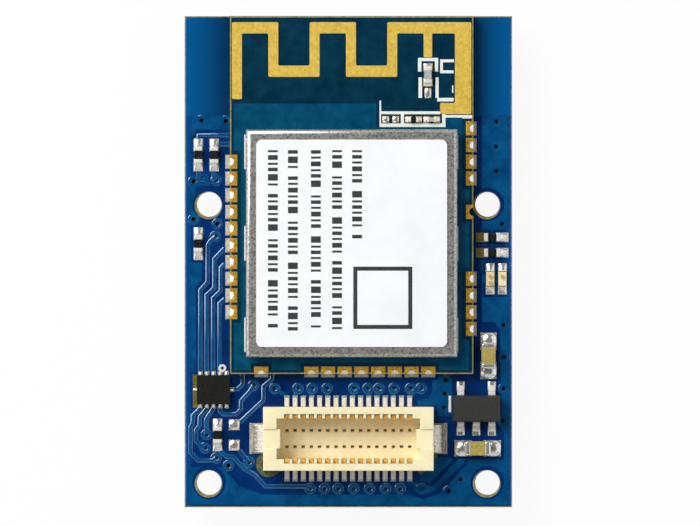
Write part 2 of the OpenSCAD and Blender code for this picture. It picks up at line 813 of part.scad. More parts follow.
module shield_can() {
    inside_w = can_w - 2 * can_t;
    inside_l = can_l - 2 * can_t;
    foot_l = (can_l - 2 * can_notch_l) / 3;
    foot_w = (can_w - 2 * can_notch_l) / 3;
    color(steel)
        translate([can_x, can_y, module_top])
            difference() {
                folded_block(can_w, can_l, can_h, can_bend);
                translate([0, 0, -overrun])
                    folded_block(inside_w, inside_l, can_h - can_t + overrun, can_bend - can_t);
                for (x = [-1, 1])
                    for (y = [-1, 1])
                        translate([x * can_w / 2, y * can_l / 2, -overrun])
                            slab(2 * can_relief, 2 * can_relief, can_h - can_bend + overrun);
                for (s = [-1, 1]) {
                    translate([0, s * (foot_l + can_notch_l) / 2, -overrun])
                        slab(can_w + 2 * overrun, can_notch_l, can_notch_h + overrun);
                    translate([s * (foot_w + can_notch_l) / 2, 0, -overrun])
                        slab(can_notch_l, can_l + 2 * overrun, can_notch_h + overrun);
                }
            }
}

module can_solder() {
    foot_l = (can_l - 2 * can_notch_l) / 3;
    joint_l = foot_l - 2 * can_relief;
    rise = can_notch_h;
    color(tin)
        translate([can_x, can_y, module_top])
            for (k = [-1 : 1])
                translate([0, k * (foot_l + can_notch_l), 0]) {
                    translate([can_w / 2, 0, 0])
                        fillet(can_right_solder, rise, joint_l);
                    rotate(180)
                        translate([can_w / 2, 0, 0])
                            fillet(can_left_solder, rise, joint_l);
                }
}

module label() {
    color(paper)
        translate([can_x, can_y, module_top + can_h])
            linear_extrude(label_t)
                rounded_rectangle(can_w - 2 * label_inset, can_l - 2 * label_inset, label_r);
}

// Places under the can, measured from its middle
module under_can(at) {
    translate([can_x + at[0], can_y + at[1], module_top])
        children();
}

module radio_chip() {
    color(black)
        under_can(radio_at)
            slab(radio_w, radio_w, radio_h);
}

module memory_chip() {
    color(black)
        under_can(memory_at)
            slab(memory_l, memory_w, memory_h);
}

module crystal() {
    color(steel)
        under_can(crystal_at) {
            slab(crystal_l, crystal_w, crystal_base);
            slab(crystal_l - 2 * crystal_step, crystal_w - 2 * crystal_step, crystal_base + crystal_lid);
        }
}

module power_inductor() {
    color(grey)
        under_can(inductor_at) {
            slab(inductor_l - 2 * inductor_step, inductor_w - 2 * inductor_step, inductor_h);
            for (z = [0, inductor_h - inductor_flange])
                translate([0, 0, z])
                    slab(inductor_l, inductor_w, inductor_flange);
        }
}

module inner_capacitors() {
    color(tan)
        for (k = [0 : 4])
            under_can([inner_at[0] + inner_pitch * k, inner_at[1]])
                rotate(90) {
                    chip_core(chip_l, chip_w, chip_h);
                    chip_ends(chip_l, chip_w, chip_h, chip_end);
                }
}

module feed_chip() {
    translate([0, 0, module_land_z])
        place(feed_part) {
            color(grey)
                chip_core(chip_l, chip_w, chip_h);
            color(tin)
                chip_ends(chip_l, chip_w, chip_h, chip_end);
        }
}

module matching_chip(i) {
    translate([0, 0, module_land_z])
        place(match_places[i]) {
            color(i == 0 ? black : grey)
                chip_core(tiny_l, tiny_w, tiny_h);
            color(tin)
                chip_ends(tiny_l, tiny_w, tiny_h, tiny_end);
        }
}

module feed_chip_solder() {
    color(tin)
        translate([0, 0, module_land_z]) {
            place(feed_part)
                chip_fillets(chip_l, chip_w, chip_h - end_t, tiny_toe);
            for (p = match_places)
                place(p)
                    chip_fillets(tiny_l, tiny_w, tiny_h - end_t, tiny_toe);
            for (p = module_bare_places)
                translate(p)
                    pillow(module_bare_land, solder_crown / 2);
            translate(feed_spare_place)
                pillow(feed_spare_land, solder_crown / 2);
        }
}

// Runs its children once for each contact of both rows, facing outwards along +Y
module contact_rows() {
    for (turn = [0, 180])
        rotate(turn)
            for (k = [0 : contact_count - 1])
                translate([k * contact_pitch - row_l / 2, 0, 0])
                    children();
}

module connector_lands(l, w) {
    contact_rows()
        translate([-slot_w / 2, w / 2 + land_margin, 0])
            cube([slot_w, contact_tail + contact_toe, copper_t]);
    for (turn = [0, 180])
        rotate(turn)
            translate([l / 2 + (tab_l + contact_toe) / 2 + land_margin, 0, 0])
                slab(tab_l + contact_toe, tab_w + 2 * land_margin, copper_t);
}

// Extrudes a section drawn in Y and Z along X
module across(w) {
    rotate([90, 0, 90])
        linear_extrude(w, center = true)
            children();
}

// Cut for a row of contacts: a low passage for their tails and a groove for their beams
module contact_channel(inner, outer, wall_y, top) {
    for (turn = [0, 180])
        rotate(turn)
            across(row_l + slot_w) {
                translate([inner, -overrun])
                    square([wall_y - inner + overrun, tail_top + fit_gap + overrun]);
                translate([inner, -overrun])
                    square([outer - inner, top + overrun]);
            }
}

// Runs its children, a section in Y and Z, as a rib in each gap between two contacts of a row
module contact_ribs() {
    for (turn = [0, 180])
        rotate(turn)
            for (k = [1 : contact_count - 1])
                translate([(k - 1 / 2) * contact_pitch - row_l / 2, 0, 0])
                    across(contact_pitch - slot_w)
                        children();
}

module tab_slot(l) {
    for (s = [-1, 1])
        translate([s * l / 2, 0, -overrun])
            slab(2 * (contact_t + fit_gap), tab_w + 2 * fit_gap, tab_h + fit_gap + overrun);
}

module tabs(l) {
    for (turn = [0, 180])
        rotate(turn) {
            translate([l / 2 - contact_t, -tab_w / 2, copper_t])
                cube([contact_t, tab_w, tab_h - copper_t]);
            translate([l / 2 - contact_t, -tab_w / 2, copper_t])
                cube([contact_t + tab_l, tab_w, contact_t]);
        }
}

module connector_solder(l, w) {
    translate([0, 0, copper_t]) {
        contact_rows()
            translate([0, w / 2 + contact_tail, 0])
                rotate(90)
                    fillet(contact_toe, contact_t, contact_w);
        for (turn = [0, 180])
            rotate(turn) {
                translate([l / 2 + tab_l, 0, 0])
                    fillet(contact_toe, contact_t, tab_w);
                translate([l / 2, 0, contact_t])
                    fillet(tab_l - contact_toe, tab_h / 3, tab_w - 2 * land_margin);
            }
    }
}

module socket_housing() {
    color(cream)
        translate([0, socket_y, board_t])
            difference() {
                slab(socket_l, socket_w, socket_h);
                difference() {
                    translate([0, 0, socket_floor])
                        slab(cavity_l, cavity_w, socket_h);
                    for (s = [-1, 1])
                        translate([s * cavity_l / 2, 0, 0])
                            slab(2 * key_d, key_w, socket_h - key_drop);
                }
                for (s = [-1, 1])
                    translate([s * socket_l / 2, 0, socket_h - key_drop])
                        slab(2 * (socket_end + lead_in), key_w, socket_h);
                contact_channel(cavity_w / 2, beam_out + fit_gap, socket_w / 2, socket_h + overrun);
                contact_rows()
                    translate([0, pocket_offset, socket_floor - pocket_d])
                        slab(pocket_l, pocket_w, pocket_d + overrun);
                tab_slot(socket_l);
            }
}

// The ribs stand in the housing's channels and keep the contacts apart
module socket_ribs() {
    color(cream)
        translate([0, socket_y, board_t])
            contact_ribs() {
                translate([cavity_w / 2, 0])
                    square([socket_w / 2 - cavity_w / 2, tail_top + fit_gap]);
                translate([cavity_w / 2, 0])
                    square([beam_out + fit_gap - cavity_w / 2, socket_h]);
            }
}

module socket_contacts() {
    tail_end = socket_w / 2 + contact_tail;
    tip_z = socket_h - tip_drop;
    color(gold)
        translate([0, socket_y, board_t])
            contact_rows()
                across(contact_w)
                    polygon([
                        [tail_end, copper_t], [tail_end, tail_top], [beam_out, tail_top],
                        [beam_out, tip_z], [beam_in, tip_z], [beam_in - 2 * bump_d, tip_z - bump_h / 2],
                        [beam_in, tip_z - bump_h], [beam_in, copper_t]
                    ]);
}

module socket_tabs() {
    color(tin)
        translate([0, socket_y, board_t])
            tabs(socket_l);
}

module socket_solder() {
    color(tin)
        translate([0, socket_y, board_t])
            connector_solder(socket_l, socket_w);
}

// The header hangs under the carrier and is built upright, then turned over
module under_carrier() {
    translate([0, socket_y, 0])
        mirror([0, 0, 1])
            children();
}

module header_housing() {
    key_slot = key_d - mating_gap + fit_gap;
    color(cream)
        under_carrier() {
            difference() {
                union() {
                    slab(header_l, header_w, header_base);
                    slab(block_l, block_w, header_h);
                }
                for (s = [-1, 1])
                    translate([s * block_l / 2, 0, header_base])
                        slab(2 * key_slot, key_w + 2 * mating_gap, header_h);
                contact_channel(channel_in, channel_out, header_w / 2, header_h - nose_h);
                tab_slot_low();
            }
            for (s = [-1, 1])
                translate([s * peg_x, peg_y, -peg_h])
                    cylinder(d = peg_d, h = peg_h);
        }
}

// The ribs end flush with the block's flanks and with the base
module header_ribs() {
    color(cream)
        under_carrier()
            contact_ribs() {
                translate([channel_in, 0])
                    square([header_w / 2 - channel_in, tail_top + fit_gap]);
                translate([channel_in, 0])
                    square([channel_out - channel_in, header_base]);
                translate([channel_in, 0])
                    square([block_w / 2 - channel_in, header_h - nose_h]);
            }
}

// The header's base is low, so its tab slots run right through it
module tab_slot_low() {
    for (s = [-1, 1])
        translate([s * header_l / 2, 0, -overrun])
            slab(2 * (contact_t + fit_gap), tab_w + 2 * fit_gap, header_base + 2 * overrun);
}

module header_contacts() {
    tail_end = header_w / 2 + contact_tail;
    tip_z = header_h - tip_drop;
    color(gold)
        under_carrier()
            contact_rows()
                across(contact_w)
                    polygon([
                        [tail_end, copper_t], [tail_end, tail_top], [flank_out, tail_top],
                        [flank_out, tip_z - contact_t], [flank_in + contact_proud, tip_z], [flank_in, tip_z],
                        [flank_in, copper_t]
                    ]);
}

module header_tabs() {
    color(tin)
        under_carrier()
            for (turn = [0, 180])
                rotate(turn) {
                    translate([header_l / 2 - contact_t, -tab_w / 2, copper_t])
                        cube([contact_t, tab_w, header_base - copper_t]);
                    translate([header_l / 2 - contact_t, -tab_w / 2, copper_t])
                        cube([contact_t + tab_l, tab_w, contact_t]);
                }
}

module header_solder() {
    color(tin)
        under_carrier()
            connector_solder(header_l, header_w);
}

// Runs its children at each terminal of the level shifter, facing outwards along +X
module terminal_places() {
    for (turn = [90, -90])
        rotate(turn)
            for (k = [-2 : 2])
                translate([shifter_w / 2, k * terminal_pitch, 0])
                    children();
    for (turn = [0, 180])
        rotate(turn)
            translate([shifter_l / 2, 0, 0])
                children();
}

module shifter_lands() {
    terminal_places()
        translate([-terminal_l, -terminal_w / 2 - land_margin, 0])
            cube([terminal_l + terminal_toe + land_margin, terminal_w + 2 * land_margin, copper_t]);
    translate([-shifter_l / 2 - strip_w, -shifter_w / 2 - terminal_toe, 0])
        cube([strip_w, shifter_w + terminal_toe + land_margin, copper_t]);
}

module level_shifter() {
    color(black)
        translate([shifter_x, shifter_y, land_z + terminal_t])
            slab(shifter_l, shifter_w, shifter_h);
}

module level_shifter_terminals() {
    color(tin)
        translate([shifter_x, shifter_y, land_z])
            terminal_places()
                translate([-terminal_l, -terminal_w / 2, 0])
                    cube([terminal_l, terminal_w, terminal_t]);
}

// Runs its children at each lead of the regulator, facing outwards along +Y
module lead_places() {
    for (k = [-1, 0, 1])
        rotate(180)
            translate([k * lead_pitch, 0, 0])
                children();
    for (k = [-1, 1])
        translate([k * lead_pitch, 0, 0])
            children();
}

module regulator_lands() {
    lead_places()
        translate([-lead_w / 2 - land_margin, reg_w / 2 + lead_reach - lead_foot, 0])
            cube([lead_w + 2 * land_margin, lead_foot + lead_toe + land_margin, copper_t]);
}

// Section of a moulded body: draft above and below a straight band where the leads come out
module moulded_section(w) {
    band_z = reg_lift + reg_h / 2;
    polygon([
        [-w / 2 + reg_draft, reg_lift], [w / 2 - reg_draft, reg_lift],
        [w / 2, band_z - lead_t / 2], [w / 2, band_z + lead_t / 2],
        [w / 2 - reg_draft, reg_lift + reg_h], [-w / 2 + reg_draft, reg_lift + reg_h],
        [-w / 2, band_z + lead_t / 2], [-w / 2, band_z - lead_t / 2]
    ]);
}

module regulator() {
    color(black)
        translate([reg_x, reg_y, land_z])
            intersection() {
                across(reg_l)
                    moulded_section(reg_w);
                rotate([90, 0, 0])
                    linear_extrude(reg_w, center = true)
                        moulded_section(reg_l);
            }
}

module regulator_leads() {
    root = reg_w / 2;
    tip = root + lead_reach;
    heel = tip - lead_foot;
    band_z = reg_lift + reg_h / 2;
    color(tin)
        translate([reg_x, reg_y, land_z])
            lead_places()
                across(lead_w)
                    polygon([
                        [root, band_z - lead_t / 2], [root + lead_t / 2, band_z - lead_t / 2],
                        [heel, 0], [tip, 0], [tip, lead_t], [heel + lead_t, lead_t],
                        [root + 3 * lead_t / 2, band_z + lead_t / 2], [root, band_z + lead_t / 2]
                    ]);
}

module lead_solder() {
    color(tin)
        translate([0, 0, land_z]) {
            translate([reg_x, reg_y, 0])
                lead_places()
                    translate([0, reg_w / 2 + lead_reach, 0])
                        rotate(90)
                            fillet(lead_toe, lead_t, lead_w);
            translate([shifter_x, shifter_y, 0])
                terminal_places()
                    fillet(terminal_toe, shifter_h / 3, terminal_w);
        }
}

module resistor(i) {
    translate([0, 0, land_z])
        place(resistor_places[i]) {
            color(black)
                chip_core(chip_l, chip_w, chip_h);
            color(tin)
                chip_ends(chip_l, chip_w, chip_h, chip_end);
        }
}

module capacitor(i) {
    translate([0, 0, land_z])
        place(capacitor_places[i]) {
            color(tan)
                chip_core(cap_l, cap_w, cap_h);
            color(tin)
                chip_ends(cap_l, cap_w, cap_h, cap_end);
        }
}

// A chip lamp: metal ends, a thin base between them and a clear lens with sloped sides
module lamp(i) {
    lens_l = lamp_l - 2 * lamp_end;
    lens_h = lamp_h - lamp_base;
    translate([0, 0, land_z])
        place(lamp_places[i]) {
            color(tin)
                for (s = [-1, 1])
                    translate([s * (lamp_l - lamp_end) / 2, 0, 0])
                        slab(lamp_end, lamp_w, lamp_base);
            color(paper)
                slab(lens_l, lamp_w, lamp_base);
            color(lens)
                translate([0, 0, lamp_base])
                    rotate([90, 0, 90])
                        linear_extrude(lens_l, center = true)
                            polygon([
                                [-lamp_w / 2, 0], [lamp_w / 2, 0],
                                [lamp_w / 2 - lamp_slope, lens_h], [lamp_slope - lamp_w / 2, lens_h]
                            ]);
        }
}

module chip_solder() {
    color(tin)
        translate([0, 0, land_z]) {
            for (p = resistor_places)
                place(p)
                    chip_fillets(chip_l, chip_w, chip_h - end_t, chip_toe);
            for (p = capacitor_places)
                place(p)
                    chip_fillets(cap_l, cap_w, cap_rise, cap_toe);
            for (p = lamp_places)
                place(p)
                    chip_fillets(lamp_l, lamp_solder_w, lamp_base, lamp_toe);
        }
}

module bare_land_solder() {
    color(tin)
        translate([0, 0, land_z])
            for (p = bare_places)
                translate(p)
                    pillow(bare_land, solder_crown);
}

carrier_board();
carrier_lands();
underside_lands();
module_board();
castellation_pads();
module_solder();
module_lands();
antenna();
shield_can();
can_solder();
label();
radio_chip();
memory_chip();
crystal();
power_inductor();
inner_capacitors();
feed_chip();
feed_chip_solder();
socket_housing();
socket_ribs();
socket_contacts();
socket_tabs();
socket_solder();
header_housing();
header_ribs();
header_contacts();
header_tabs();
header_solder();
level_shifter();
level_shifter_terminals();
regulator();
regulator_leads();
lead_solder();
chip_solder();
bare_land_solder();
for (i = [0 : len(match_places) - 1])
    matching_chip(i);
for (i = [0 : len(resistor_places) - 1])
    resistor(i);
for (i = [0 : len(lamp_places) - 1])
    lamp(i);
for (i = [0 : len(capacitor_places) - 1])
    capacitor(i);
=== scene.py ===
# %% [markdown]
# # Dressing a stacking radio board
# The frame brings the board's measured solids: laminate, lands, can, chips and connectors.
# On the real board most of what the eye sees is skin: blue lacquer over copper, bright solder,
# rolled edges. This lesson lays that skin on, one layer after another, as it is made in a factory.

import math

import bpy
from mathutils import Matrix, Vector


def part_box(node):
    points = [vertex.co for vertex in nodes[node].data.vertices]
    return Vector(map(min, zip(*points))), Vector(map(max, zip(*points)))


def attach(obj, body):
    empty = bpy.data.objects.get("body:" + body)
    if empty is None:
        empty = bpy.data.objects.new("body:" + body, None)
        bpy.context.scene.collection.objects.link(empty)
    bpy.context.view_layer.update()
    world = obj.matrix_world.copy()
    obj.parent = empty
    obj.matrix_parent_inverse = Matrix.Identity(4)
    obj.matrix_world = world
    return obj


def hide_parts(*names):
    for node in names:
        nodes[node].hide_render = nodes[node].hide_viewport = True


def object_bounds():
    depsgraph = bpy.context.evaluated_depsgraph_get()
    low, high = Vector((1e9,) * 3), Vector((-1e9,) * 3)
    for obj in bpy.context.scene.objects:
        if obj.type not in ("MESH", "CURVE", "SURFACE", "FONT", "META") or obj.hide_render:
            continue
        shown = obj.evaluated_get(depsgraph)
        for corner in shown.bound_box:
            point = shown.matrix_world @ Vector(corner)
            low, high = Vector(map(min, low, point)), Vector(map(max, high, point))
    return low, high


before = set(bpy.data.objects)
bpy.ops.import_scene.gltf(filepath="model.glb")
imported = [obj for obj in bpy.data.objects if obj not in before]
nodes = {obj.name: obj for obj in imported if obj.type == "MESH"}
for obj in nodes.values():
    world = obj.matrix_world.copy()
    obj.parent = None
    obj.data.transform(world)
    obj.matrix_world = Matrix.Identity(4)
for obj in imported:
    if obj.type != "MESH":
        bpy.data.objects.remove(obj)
solids_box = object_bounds()
print("solids:", len(nodes))

# %% [markdown]
# ## Tools of the bench
# The board is 20 by 30 millimetres, so everything is modelled with one Blender unit for one
# millimetre and brought down to metres at the end. Bevels and Booleans are then far from the
# sizes where rounding shows. Each helper does one thing that a hand would do with the mouse.

# %% Selecting, joining and settling
MM = 0.001
WELD = 0.0005


def only(piece):
    """Leaves one piece selected and active."""
    bpy.ops.object.select_all(action="DESELECT")
    piece.select_set(True)
    bpy.context.view_layer.objects.active = piece


def apply_place(piece):
    """Puts a piece's place, turn and size into its points."""
    only(piece)
    bpy.ops.object.transform_apply(location=True, rotation=True, scale=True)


def on_bench(name, data):
    """Makes an object of a mesh or a curve."""
    piece = bpy.data.objects.new(name, data)
    bpy.context.collection.objects.link(piece)
    return piece


def joined(pieces, name):
    """Joins pieces into one mesh whose place is in its points."""
    bpy.ops.object.select_all(action="DESELECT")
    for piece in pieces:
        piece.select_set(True)
    bpy.context.view_layer.objects.active = pieces[0]
    if len(pieces) > 1:
        bpy.ops.object.join()
    piece = bpy.context.active_object
    apply_place(piece)
    piece.name = piece.data.name = name
    return piece


def deselect_mesh(piece):
    """Clears what is selected in a mesh, so that code can pick points or edges."""
    for part in (piece.data.vertices, piece.data.edges, piece.data.polygons):
        part.foreach_set("select", [False] * len(part))


def merge(piece, flat=False):
    """Welds double points and, if asked, clears the edges inside flat faces."""
    only(piece)
    bpy.ops.object.mode_set(mode="EDIT")
    bpy.ops.mesh.select_all(action="SELECT")
    bpy.ops.mesh.remove_doubles(threshold=WELD)
    if flat:
        bpy.ops.mesh.dissolve_limited(angle_limit=math.radians(1))
    bpy.ops.object.mode_set(mode="OBJECT")


def give(piece, finishes):
    """Gives a piece its finishes in place of what it had."""
    piece.data.materials.clear()
    for one in finishes:
        piece.data.materials.append(one)


def settle(piece, slot, finish, *stands_for):
    """Brings a piece down to metres, gives it its finish and sets it on the board."""
    piece.scale = (MM, MM, MM)
    apply_place(piece)
    give(piece, finish if isinstance(finish, list) else [finish])
    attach(piece, "root")
    if stands_for:
        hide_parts(*stands_for)
    print(piece.name, len(piece.data.polygons), "faces")


def sort_faces(piece, pick):
    """Gives each face of a piece in metres the finish that its middle and normal call for."""
    for face in piece.data.polygons:
        face.material_index = pick(face.center / MM, face.normal)


# %% Boxes, drums, copies of solids
def block(low, high):
    """Adds a box between two corners."""
    middle = [(a + b) / 2 for a, b in zip(low, high)]
    bpy.ops.mesh.primitive_cube_add(size=1, location=middle)
    piece = bpy.context.active_object
    piece.scale = [b - a for a, b in zip(low, high)]
    return piece


def drum(x, y, radius, low, high, sides=32):
    """Adds an upright cylinder."""
    bpy.ops.mesh.primitive_cylinder_add(
        vertices=sides, radius=radius, depth=high - low, location=(x, y, (low + high) / 2)
    )
    return bpy.context.active_object


def drums(places, radius, low, high, sides):
    """Adds equal cylinders at several places."""
    return [drum(x, y, radius, low, high, sides) for x, y in places]


def copy_of(node, name, flat=True):
    """A welded copy of a solid, in millimetres, to be shaped further."""
    piece = on_bench(name, nodes[node].data.copy())
    piece.scale = (1 / MM, 1 / MM, 1 / MM)
    apply_place(piece)
    piece.data.name = name
    merge(piece, flat)
    return piece


def size_of(node):
    """The lowest and highest corner of a solid, in millimetres."""
    low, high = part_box(node)
    return low / MM, high / MM


def add_modifier(piece, kind, **settings):
    """Adds a modifier and applies it at once."""
    only(piece)
    modifier = piece.modifiers.new(kind.title(), kind)
    for key, value in settings.items():
        setattr(modifier, key, value)
    bpy.ops.object.modifier_apply(modifier=modifier.name)


def soften(piece, width, segments=3, angle=30):
    """Rolls every edge sharper than an angle and shades the rest smooth."""
    apply_place(piece)
    limit = math.radians(angle)
    add_modifier(piece, "BEVEL", width=width, segments=segments, limit_method="ANGLE", angle_limit=limit)
    merge(piece)
    bpy.ops.object.shade_smooth_by_angle(angle=math.radians(35))
    add_modifier(piece, "WEIGHTED_NORMAL", keep_sharp=True)


def skin(node, roll, segments, slot, finish, angle=30, name=None):
    """A copy of a solid with rolled edges, which stands for it."""
    piece = copy_of(node, name or node + "_skin")
    soften(piece, roll, segments, angle)
    settle(piece, slot, finish, node)
    return piece


def cut(piece, cutter, operation="DIFFERENCE"):
    """Takes the cutter's shape out of the piece, or keeps only what both share."""
    add_modifier(piece, "BOOLEAN", operation=operation, solver="EXACT", use_self=True, object=cutter)
    bpy.data.objects.remove(cutter)


def open_up(plate, cutters):
    """Cuts openings out of a flat plate and clears the edges left in its faces."""
    cut(plate, joined(cutters, "cutters"))
    merge(plate, flat=True)


def fuse(piece):
    """Makes one skin of overlapping boxes: a cut with a block far off solves the overlaps."""
    cut(piece, block((8, 30, 1), (8.1, 30.1, 1.1)))


# %% [markdown]
# ## Flat shapes and rounded lines
# Lacquer, copper areas and print are flat shapes with a thickness of a few hundredths of a
# millimetre. A filled flat curve is the quickest way to an outline of any form, and it becomes a
# mesh before it is cut. Copper lines under lacquer look like low rounded ribs: a round tube along
# the route, pressed flat, gives that section with clean corners.

# %% Outlines, ribs and rings
def flat_shape(name, outline, low, high):
    """A flat plate with the given outline between two heights."""
    curve = bpy.data.curves.new(name, "CURVE")
    curve.dimensions = "2D"
    curve.fill_mode = "BOTH"
    curve.extrude = (high - low) / 2
    line = curve.splines.new("POLY")
    line.points.add(len(outline) - 1)
    for point, (x, y) in zip(line.points, outline):
        point.co = (x, y, 0, 1)
    line.use_cyclic_u = True
    piece = on_bench(name, curve)
    only(piece)
    bpy.ops.object.convert(target="MESH")
    piece = bpy.context.active_object
    piece.location.z = (low + high) / 2
    apply_place(piece)
    merge(piece, flat=True)
    return piece


def ribs(name, routes, width, middle, height):
    """Round tubes along the routes, pressed to a height on either side of their middle."""
    curve = bpy.data.curves.new(name, "CURVE")
    curve.dimensions = "3D"
    curve.bevel_depth = width / 2
    curve.bevel_resolution = 6
    curve.use_fill_caps = True
    for route in routes:
        line = curve.splines.new("POLY")
        line.points.add(len(route) - 1)
        for point, (x, y) in zip(line.points, route):
            point.co = (x, y, 0, 1)
    piece = on_bench(name, curve)
    only(piece)
    bpy.ops.object.convert(target="MESH")
    piece = bpy.context.active_object
    piece.scale.z = 2 * height / width
    piece.location.z = middle
    apply_place(piece)
    merge(piece)
    bpy.ops.object.shade_smooth_by_angle(angle=math.radians(40))
    return piece


def ring(x, y, inner, outer, middle, height):
    """A low rounded ring, as lacquer leaves it over an annular land."""
    bpy.ops.mesh.primitive_torus_add(
        major_radius=(inner + outer) / 2,
        minor_radius=(outer - inner) / 2,
        major_segments=28,
        minor_segments=10,
        location=(x, y, middle),
    )
    piece = bpy.context.active_object
    piece.scale.z = 2 * height / (outer - inner)
    bpy.ops.object.shade_smooth()
    return piece


def roll_rims(piece, level, width):
    """Bevels the rim where upright walls meet a flat face at one height."""
    only(piece)
    mesh = piece.data
    walls = set()
    flats = set()
    for face in mesh.polygons:
        (flats if abs(face.normal.z) > 0.9 else walls).update(face.edge_keys)
    deselect_mesh(piece)
    for edge in mesh.edges:
        at_level = all(abs(mesh.vertices[v].co.z - level) < 0.001 for v in edge.vertices)
        edge.select = at_level and edge.key in walls and edge.key in flats
    bpy.ops.object.mode_set(mode="EDIT")
    bpy.ops.mesh.select_mode(type="EDGE")
    bpy.ops.mesh.bevel(offset=width, segments=2, affect="EDGES", clamp_overlap=True)
    bpy.ops.object.mode_set(mode="OBJECT")
    merge(piece)
    bpy.ops.object.shade_smooth_by_angle(angle=math.radians(40))
    add_modifier(piece, "WEIGHTED_NORMAL", keep_sharp=True)


# %% [markdown]
# ## Finishes
# Every finish mixes two colours in cloudy patches, lets the gloss follow the same cloud, and adds
# a fine grain as bump. What differs is the size of the patches, the gloss and whether it is metal.
# Colours are written as the eye reads them, from 0 to 255.

# %% Filling shader nodes
def fill(tree, socket, value):
    """Links an input to another node's output, or sets its plain value."""
    if isinstance(value, bpy.types.NodeSocket):
        tree.links.new(value, socket)
    else:
        socket.default_value = value


def feed(tree, node, **values):
    """Fills a node's inputs by name, with underscores for blanks."""
    for name, value in values.items():
        fill(tree, node.inputs[name.replace("_", " ")], value)


def shader_node(tree, kind, **values):
    """Adds a shader node and fills its inputs."""
    node = tree.nodes.new("ShaderNode" + kind)
    feed(tree, node, **values)
    return node


def reckon(tree, operation, *terms):
    """Works out one or two terms with a maths node."""
    node = shader_node(tree, "Math")
    node.operation = operation
    for socket, term in zip(node.inputs, terms):
        fill(tree, socket, term)
    return node.outputs["Value"]


def blended(tree, share, first, second):
    """Mixes two colours by a share."""
    mix = shader_node(tree, "Mix")
    mix.data_type = "RGBA"
    feed(tree, mix, Factor=share, A=first, B=second)
    return mix.outputs["Result"]


def graded(tree, value, *stops):
    """A colour that runs between two stops, each with its place and its colour."""
    ramp = shader_node(tree, "ValToRGB", Fac=value)
    for element, (place, colour) in zip(ramp.color_ramp.elements, stops):
        element.position = place
        element.color = colour
    return ramp.outputs["Color"]


# %% A finish from two colours, a patch size and a grain
CLOUD_LOW, CLOUD_HIGH = 0.35, 0.65


def ink(red, green, blue):
    """Turns an eye colour into the linear light that Blender mixes."""
    parts = [c / 255 for c in (red, green, blue)]
    light = [c / 12.92 if c <= 0.04045 else ((c + 0.055) / 1.055) ** 2.4 for c in parts]
    return (*light, 1)


def finish(name, dark, pale, patch, gloss, metal=0.0, grain=0.05, relief=0.001, shine=0.5):
    """A cloudy two-colour finish: patch and grain in millimetres, gloss as two roughnesses."""
    material = bpy.data.materials.new(name)
    material.use_nodes = True
    tree = material.node_tree
    where = shader_node(tree, "TexCoord").outputs["Object"]
    cloud = shader_node(tree, "TexNoise", Vector=where, Scale=1 / (patch * MM), Detail=6, Roughness=0.65)
    cloud = cloud.outputs["Fac"]
    colour = graded(tree, cloud, (CLOUD_LOW, ink(*dark)), (CLOUD_HIGH, ink(*pale)))
    polish = shader_node(tree, "MapRange", Value=cloud, From_Min=CLOUD_LOW, From_Max=CLOUD_HIGH)
    feed(tree, polish, To_Min=gloss[0], To_Max=gloss[1])
    dust = shader_node(tree, "TexNoise", Vector=where, Scale=1 / (grain * MM), Detail=3)
    bump = shader_node(tree, "Bump", Height=dust.outputs["Fac"], Distance=relief * MM)
    set_on(material, Base_Color=colour, Metallic=metal, Specular_IOR_Level=shine)
    set_on(material, Roughness=polish.outputs["Result"], Normal=bump.outputs["Normal"])
    return material


def set_on(material, **values):
    """Fills inputs of a finish's own shader."""
    feed(material.node_tree, material.node_tree.nodes["Principled BSDF"], **values)


# %% [markdown]
# ## The finishes of this board
# The lacquer is a deep blue, darker where no copper lies below and lighter over copper. Bare
# laminate is olive. The gold of the lands is thin and matt, so most of its colour comes from
# scattered light. Solder is bright where it has melted and dull where it is only tinned, and the
# can is stained nickel silver. The lines get a clear coat, because they carry the sharpest light.

# %% Lacquer, laminate and gold
lacquer_film = finish(
    "lacquer_film", (0, 38, 92), (0, 52, 118), 1.6, (0.13, 0.2), grain=0.14, relief=0.0008
)
lacquer_copper = finish("lacquer_copper", (0, 64, 112), (0, 84, 136), 0.9, (0.13, 0.22), grain=0.12)
lacquer_module = finish("lacquer_module", (0, 40, 60), (0, 54, 78), 1.1, (0.16, 0.24), grain=0.12)
lacquer_ground = finish("lacquer_ground", (0, 64, 94), (0, 80, 112), 0.8, (0.15, 0.24), grain=0.12)
lacquer_line = finish("lacquer_line", (0, 70, 120), (0, 88, 142), 0.9, (0.07, 0.14), relief=0.0005)
laminate = finish("laminate", (112, 108, 58), (158, 150, 96), 0.25, (0.5, 0.65), grain=0.06, relief=0.004)
# Painted shade: near black for the shade inside the narrow drilled holes.
bore_painted_shade = finish("bore_painted_shade", (4, 6, 12), (14, 16, 24), 0.1, (0.4, 0.6))
gold_land = finish("gold_land", (204, 150, 36), (234, 188, 68), 0.16, (0.24, 0.38), 0.45, 0.04, 0.0015)
gold_antenna = finish("gold_antenna", (220, 182, 66), (242, 208, 94), 0.2, (0.36, 0.5), 0.3, 0.05, 0.0015)
# Painted shade: bare gold darkened for the shade it lies in, as the resistor lands in the module's shadow.
bare_gold_painted_shade = finish("bare_gold_painted_shade", (100, 88, 30), (136, 118, 46), 0.14, (0.36, 0.5), 0.2, 0.04, 0.0015)
gold_beam = finish("gold_beam", (232, 168, 62), (252, 210, 112), 0.2, (0.3, 0.45), 0.2, 0.04)

